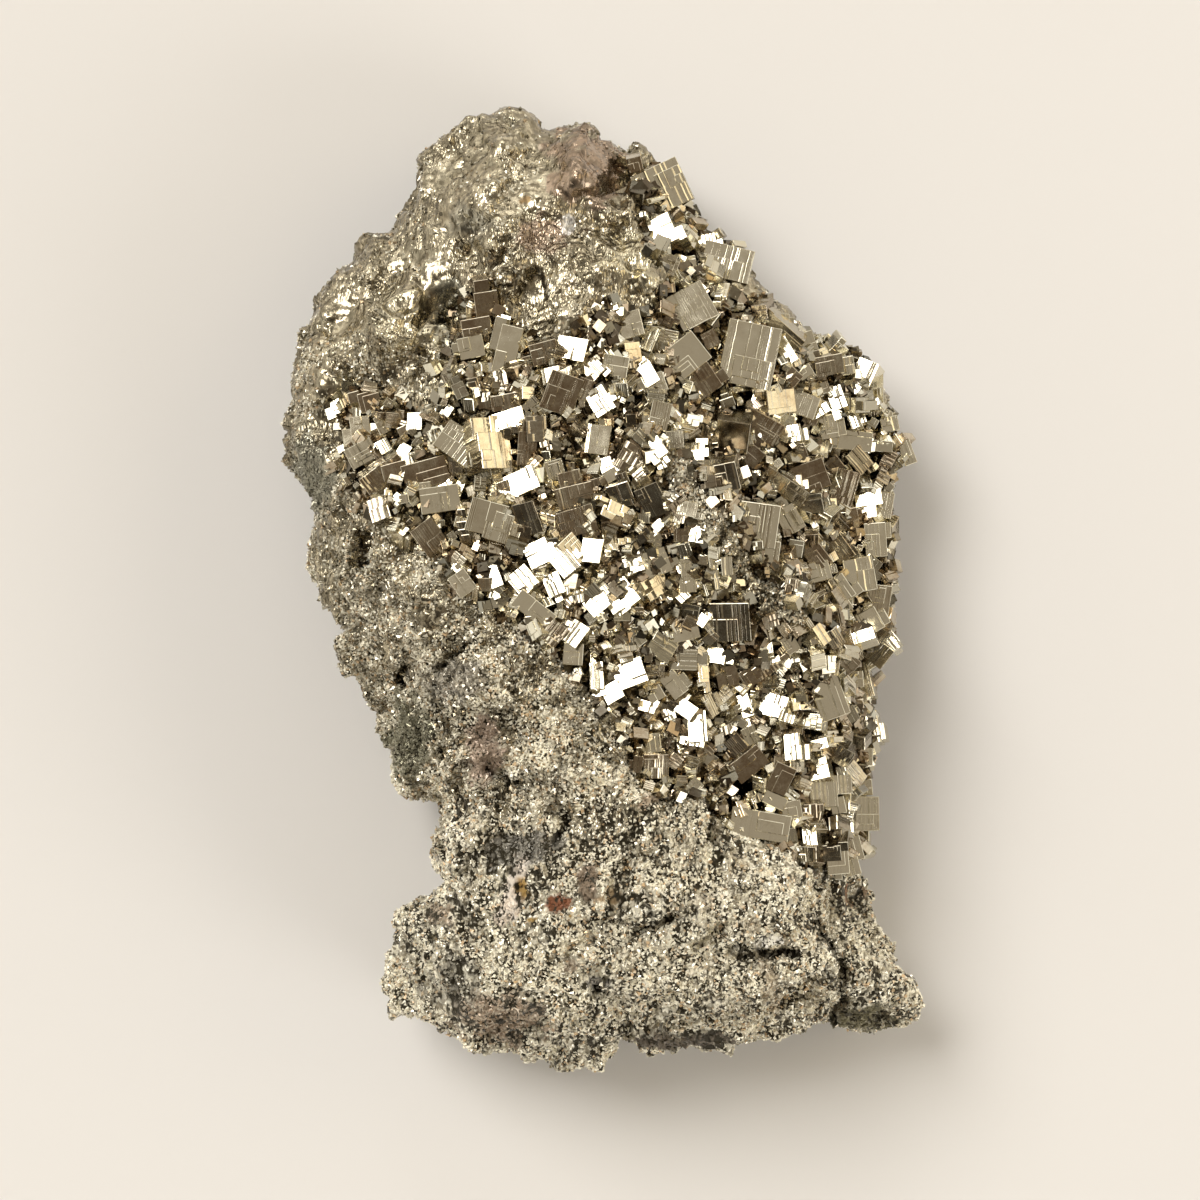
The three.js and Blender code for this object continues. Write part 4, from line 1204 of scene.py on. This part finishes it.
def granularMaterial(name, onGrains):
    material, tree = newMaterial(name)
    place = addNode(tree, "ShaderNodeTexCoord").outputs["Object"]
    stainAndShade = attributeNode(tree, "stainAndShade")
    dull, pale, fine = [attributeNode(tree, key)["Fac"] for key in ("dull", "pale", "fine")]
    values = {"Specular IOR Level": groundLook["specular"]}
    if onGrains:
        own = partsOf(tree, attributeNode(tree, "look")["Color"])
        shade = mathNode(tree, "POWER", own[0], groundLook["grainShade"])
        rusted = mapped(tree, own[1], *groundLook["rustyFrom"])
        light = mixColours(tree, rusted, groundLook["paleGrain"], groundLook["rusty"])
    else:
        least, most = groundLook["tilt"]
        grain = useGroup(tree, glitter, {
            "Vector": place, "Grain Size": groundLook["grainSize"],
            "Tilt": mathNode(tree, "MULTIPLY_ADD", fine, most - least, least)})
        ridges = useGroup(tree, crinkle, {
            "Vector": place, "Normal": grain["Normal"], "Size": groundLook["crinkleSize"],
            "Depth": groundLook["crinkleDepth"]})
        values["Normal"] = ridges["Normal"]
        shade = grain["Shade"]
        light = mixColours(tree, pale, groundLook["light"], groundLook["paleGrain"])
    broad = noiseNode(tree, place, groundLook["patches"], 3.0)[0]
    patches = mapped(tree, broad, *groundLook["patchEdges"], *groundLook["patchTones"])
    paler = mathNode(tree, "MULTIPLY_ADD", pale, groundLook["paler"], patches)
    shade = mathNode(tree, "MULTIPLY", shade, paler, clamp=True)
    colour = mixColours(tree, shade, groundLook["darkGrain" if onGrains else "dark"], light)
    speck = noiseNode(tree, place, groundLook["speckles"], 2.0)[0]
    # the stains, with the painted shade between the crystals and along the lower lip
    more = mathNode(tree, "MULTIPLY", stainAndShade["Alpha"], groundLook["stainStrength"])
    amount = mathNode(tree, "SUBTRACT", more, speck, clamp=True)
    colour = mixColours(tree, amount, colour, stainAndShade["Color"])
    if onGrains:
        most, least = groundLook["grainMetallic"]
        metal = mathNode(tree, "MULTIPLY_ADD", shade, least - most, most)
    else:
        # Painted shade: the low places of the crinkles are darkened, less on the smooth head
        grainy = mathNode(tree, "MAXIMUM", fine, groundLook["leastPaintedShade"])
        depth = mathNode(tree, "MULTIPLY", ridges["Deep"], grainy)
        colour = mixColours(tree, depth, colour, groundLook["deep"])
        metal = mathNode(tree, "MULTIPLY_ADD", pale, groundLook["paleMetallic"], groundLook["metallic"])
    values["Base Color"] = colour
    values["Metallic"] = mathNode(tree, "MULTIPLY", mathNode(tree, "SUBTRACT", 1.0, dull), metal)
    values["Roughness"] = mathNode(
        tree, "MULTIPLY_ADD", dull, groundLook["dullRoughness"], groundLook["roughness"])
    finishMaterial(tree, values)
    return material


crystalSurface = crystalMaterial("pyrite_crystal", True)
cubeSurface = crystalMaterial("pyrite_small_cubes", False)
groundSurface = granularMaterial("pyrite_ground", False)
grainSurface = granularMaterial("pyrite_grains", True)
lump.data.materials.append(groundSurface)
largeCrystals.data.materials.append(crystalSurface)
smallCrystals.data.materials.append(crystalSurface)
paintStainsAndShade(lump.data, points)

# The grains, in pieces from the head to the foot, and small cubes between the crystals
grains = {
    "seed": 40,
    "seedStep": 10,
    "counts": (1800, 8200, 30300, 30300),
    "rowsBetween": (330, 580, 810),  # where one piece ends and the next begins
    "leastSize": 0.18 * mm,
    "mostSize": 0.55 * mm,
    "longest": 2.0,
}
druse = {
    "seed": 90,
    "count": 9000,
    "leastSize": 0.5 * mm,
    "mostSize": 2.0 * mm,
    "longest": 1.3,
    "tilt": 0.75,
    "belowRim": 4,  # millimetres
}
# Where the ground is grainy or pale: row where that comes in, over how many rows, how patchy
cover = {
    "fine": (520, 150, 0.8),
    "ridgeFine": 0.8,
    "pale": (750, 110, 0.6),
    "bareBelow": 1.5,  # millimetres
    "patchWave": 0.16,
    "onSmooth": 0.2,  # share of the grains that the smooth head gets
    "patchy": (0.7, 1.2),
    "leastMost": (0.1, 1.3),
}
scatter = scatterTree()
columns, rows = placeOf(points)
inDruse = fieldMask(columns, rows) & (points[:, 2] > plan["rimHeight"] - druse["belowRim"])
bare = np.where(points[:, 2] < cover["bareBelow"], 0, 1.0) * (1 - openingMask)
patchy = noiseAt(points, cover["patchWave"])


def patchyFrom(first, span, share):
    return np.clip(comingIn(rows, first, span) + share * patchy, 0, 1)


fine = np.where(isInside(columns, rows, ridge), cover["ridgeFine"], patchyFrom(*cover["fine"]))
addPointValues(lump.data, "fine", fine)
addPointValues(lump.data, "pale", patchyFrom(*cover["pale"]))
evenly, unevenly = cover["patchy"]
grainy = bare * (cover["onSmooth"] + (1 - cover["onSmooth"]) * fine)
wanted = np.where(inDruse, 0.0, grainy * np.clip(evenly + unevenly * patchy, *cover["leastMost"]))
band = np.searchsorted(grains["rowsBetween"], rows)
pieces = [lump, largeCrystals, smallCrystals]
loops = np.zeros(len(lump.data.loops), np.int32)
lump.data.loops.foreach_get("vertex_index", loops)
areas = np.array([face.area for face in lump.data.polygons])
starts = np.array([face.loop_start for face in lump.data.polygons])


def scatterPiece(name, mask, count, look, values):
    piece = addObject(name, lump.data.copy())
    addPointValues(piece.data, "mask", mask)
    area = float((areas * mask[loops[starts]]).sum())
    modifier = piece.modifiers.new("scatter", "NODES")
    modifier.node_group = scatter
    setInputs(modifier, {
        "Density": count / area, "Mask": "mask", "Least Size": look["leastSize"],
        "Most Size": look["mostSize"], "Longest": look["longest"], **values})
    applyModifiers(piece)
    pieces.append(piece)
    print(piece.name, len(piece.data.loops) - 2 * len(piece.data.polygons), "triangles")


for index, place in enumerate(("head", "shoulder", "middle", "foot")):
    scatterPiece("grains_" + place, wanted * (band == index), grains["counts"][index], grains, {
        "Seed": grains["seed"] + grains["seedStep"] * index, "Material": grainSurface})
scatterPiece("small_cubes", bare * inDruse, druse["count"], druse, {
    "Seed": druse["seed"], "Material": cubeSurface, "Tilt": druse["tilt"], "Cubes": True})

# Nothing reaches below the floor
for piece in pieces:
    standing = readPoints(piece.data)
    standing[:, 2] = np.maximum(standing[:, 2], 0)
    piece.data.vertices.foreach_set("co", standing.astype(np.float32).ravel())
    piece.data.update()
    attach(piece, "root")
    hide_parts("pyrite_specimen")


# The floor, the light and the camera
studio = {
    "floor": (0.79, 0.765, 0.73, 1),
    "floorRoughness": 0.9,
    "floorSpecular": 0.1,
    "floorSize": 3.0,
    "zenith": (0.40, 0.353, 0.29, 1),
    "middle": (0.285, 0.25, 0.195, 1),
    "horizon": (1.3, 1.26, 1.18, 1),
    "zenithEdges": (0.96, 0.8),  # of how straight up, from 0 to 1
    "horizonEdges": (0.6, 0.15),
    "areaEdges": (1.25, 0.8),  # of the half width
    "lens": 116.93,
    "cameraPlace": (0.00015, -0.0027, 0.6),
}
# Lit and dark areas of the sky: how far from straight up, direction, half width in degrees, colour, strength
skyAreas = [
    (39, 135, 15.5, (1.0, 0.98, 0.95), 9.0),
    (30, 300, 15, (0.2, 0.155, 0.11), 1.0),
    (48, 235, 24, (0.075, 0.065, 0.05), 1.0),
    (60, 20, 16, (1.0, 0.86, 0.62), 1.8),
    (66, 330, 14, (1.0, 0.98, 0.95), 5.0),
    (70, 90, 12, (1.0, 0.98, 0.95), 3.0),
]

floorMesh = bpy.data.meshes.new("floor")
half = studio["floorSize"] / 2
floorCorners = [(-half, -half, 0), (half, -half, 0), (half, half, 0), (-half, half, 0)]
floorMesh.from_pydata(floorCorners, [], [(0, 1, 2, 3)])
floor = addObject("floor", floorMesh)
floorSurface, tree = newMaterial("floor")
finishMaterial(tree, {
    "Base Color": studio["floor"], "Roughness": studio["floorRoughness"],
    "Specular IOR Level": studio["floorSpecular"]})
floorMesh.materials.append(floorSurface)

world = bpy.data.worlds.new("studio")
bpy.context.scene.world = world
world.use_nodes = True
tree = world.node_tree
tree.nodes.clear()
direction = addNode(tree, "ShaderNodeTexCoord").outputs["Generated"]
level = addNode(tree, "ShaderNodeSeparateXYZ", {0: direction}).outputs[2]
sky = studio["zenith"]
for edges, colour in (("zenithEdges", "middle"), ("horizonEdges", "horizon")):
    sky = mixColours(tree, mapped(tree, level, *studio[edges], form="SMOOTHSTEP"), sky, studio[colour])
for fromUp, towards, halfWidth, colour, strength in skyAreas:
    facing = vectorNode(tree, "DOT_PRODUCT", direction, tuple(leaning(fromUp, towards)))
    edges = [math.cos(math.radians(halfWidth * share)) for share in studio["areaEdges"]]
    shining = tuple(part * strength for part in colour) + (1,)
    sky = mixColours(tree, mapped(tree, facing, *edges), sky, shining)
background = addNode(tree, "ShaderNodeBackground", {0: sky, 1: 1.0})
addNode(tree, "ShaderNodeOutputWorld", {0: background.outputs[0]})

cameraData = bpy.data.cameras.new("camera")
cameraData.sensor_width = 36
cameraData.lens = studio["lens"]
cameraData.clip_start = 0.01
camera = addObject("camera", cameraData)
camera.location = studio["cameraPlace"]
bpy.context.scene.camera = camera
bpy.context.scene.view_settings.view_transform = "Standard"
bpy.context.scene.cycles.caustics_reflective = False
print("studio set")
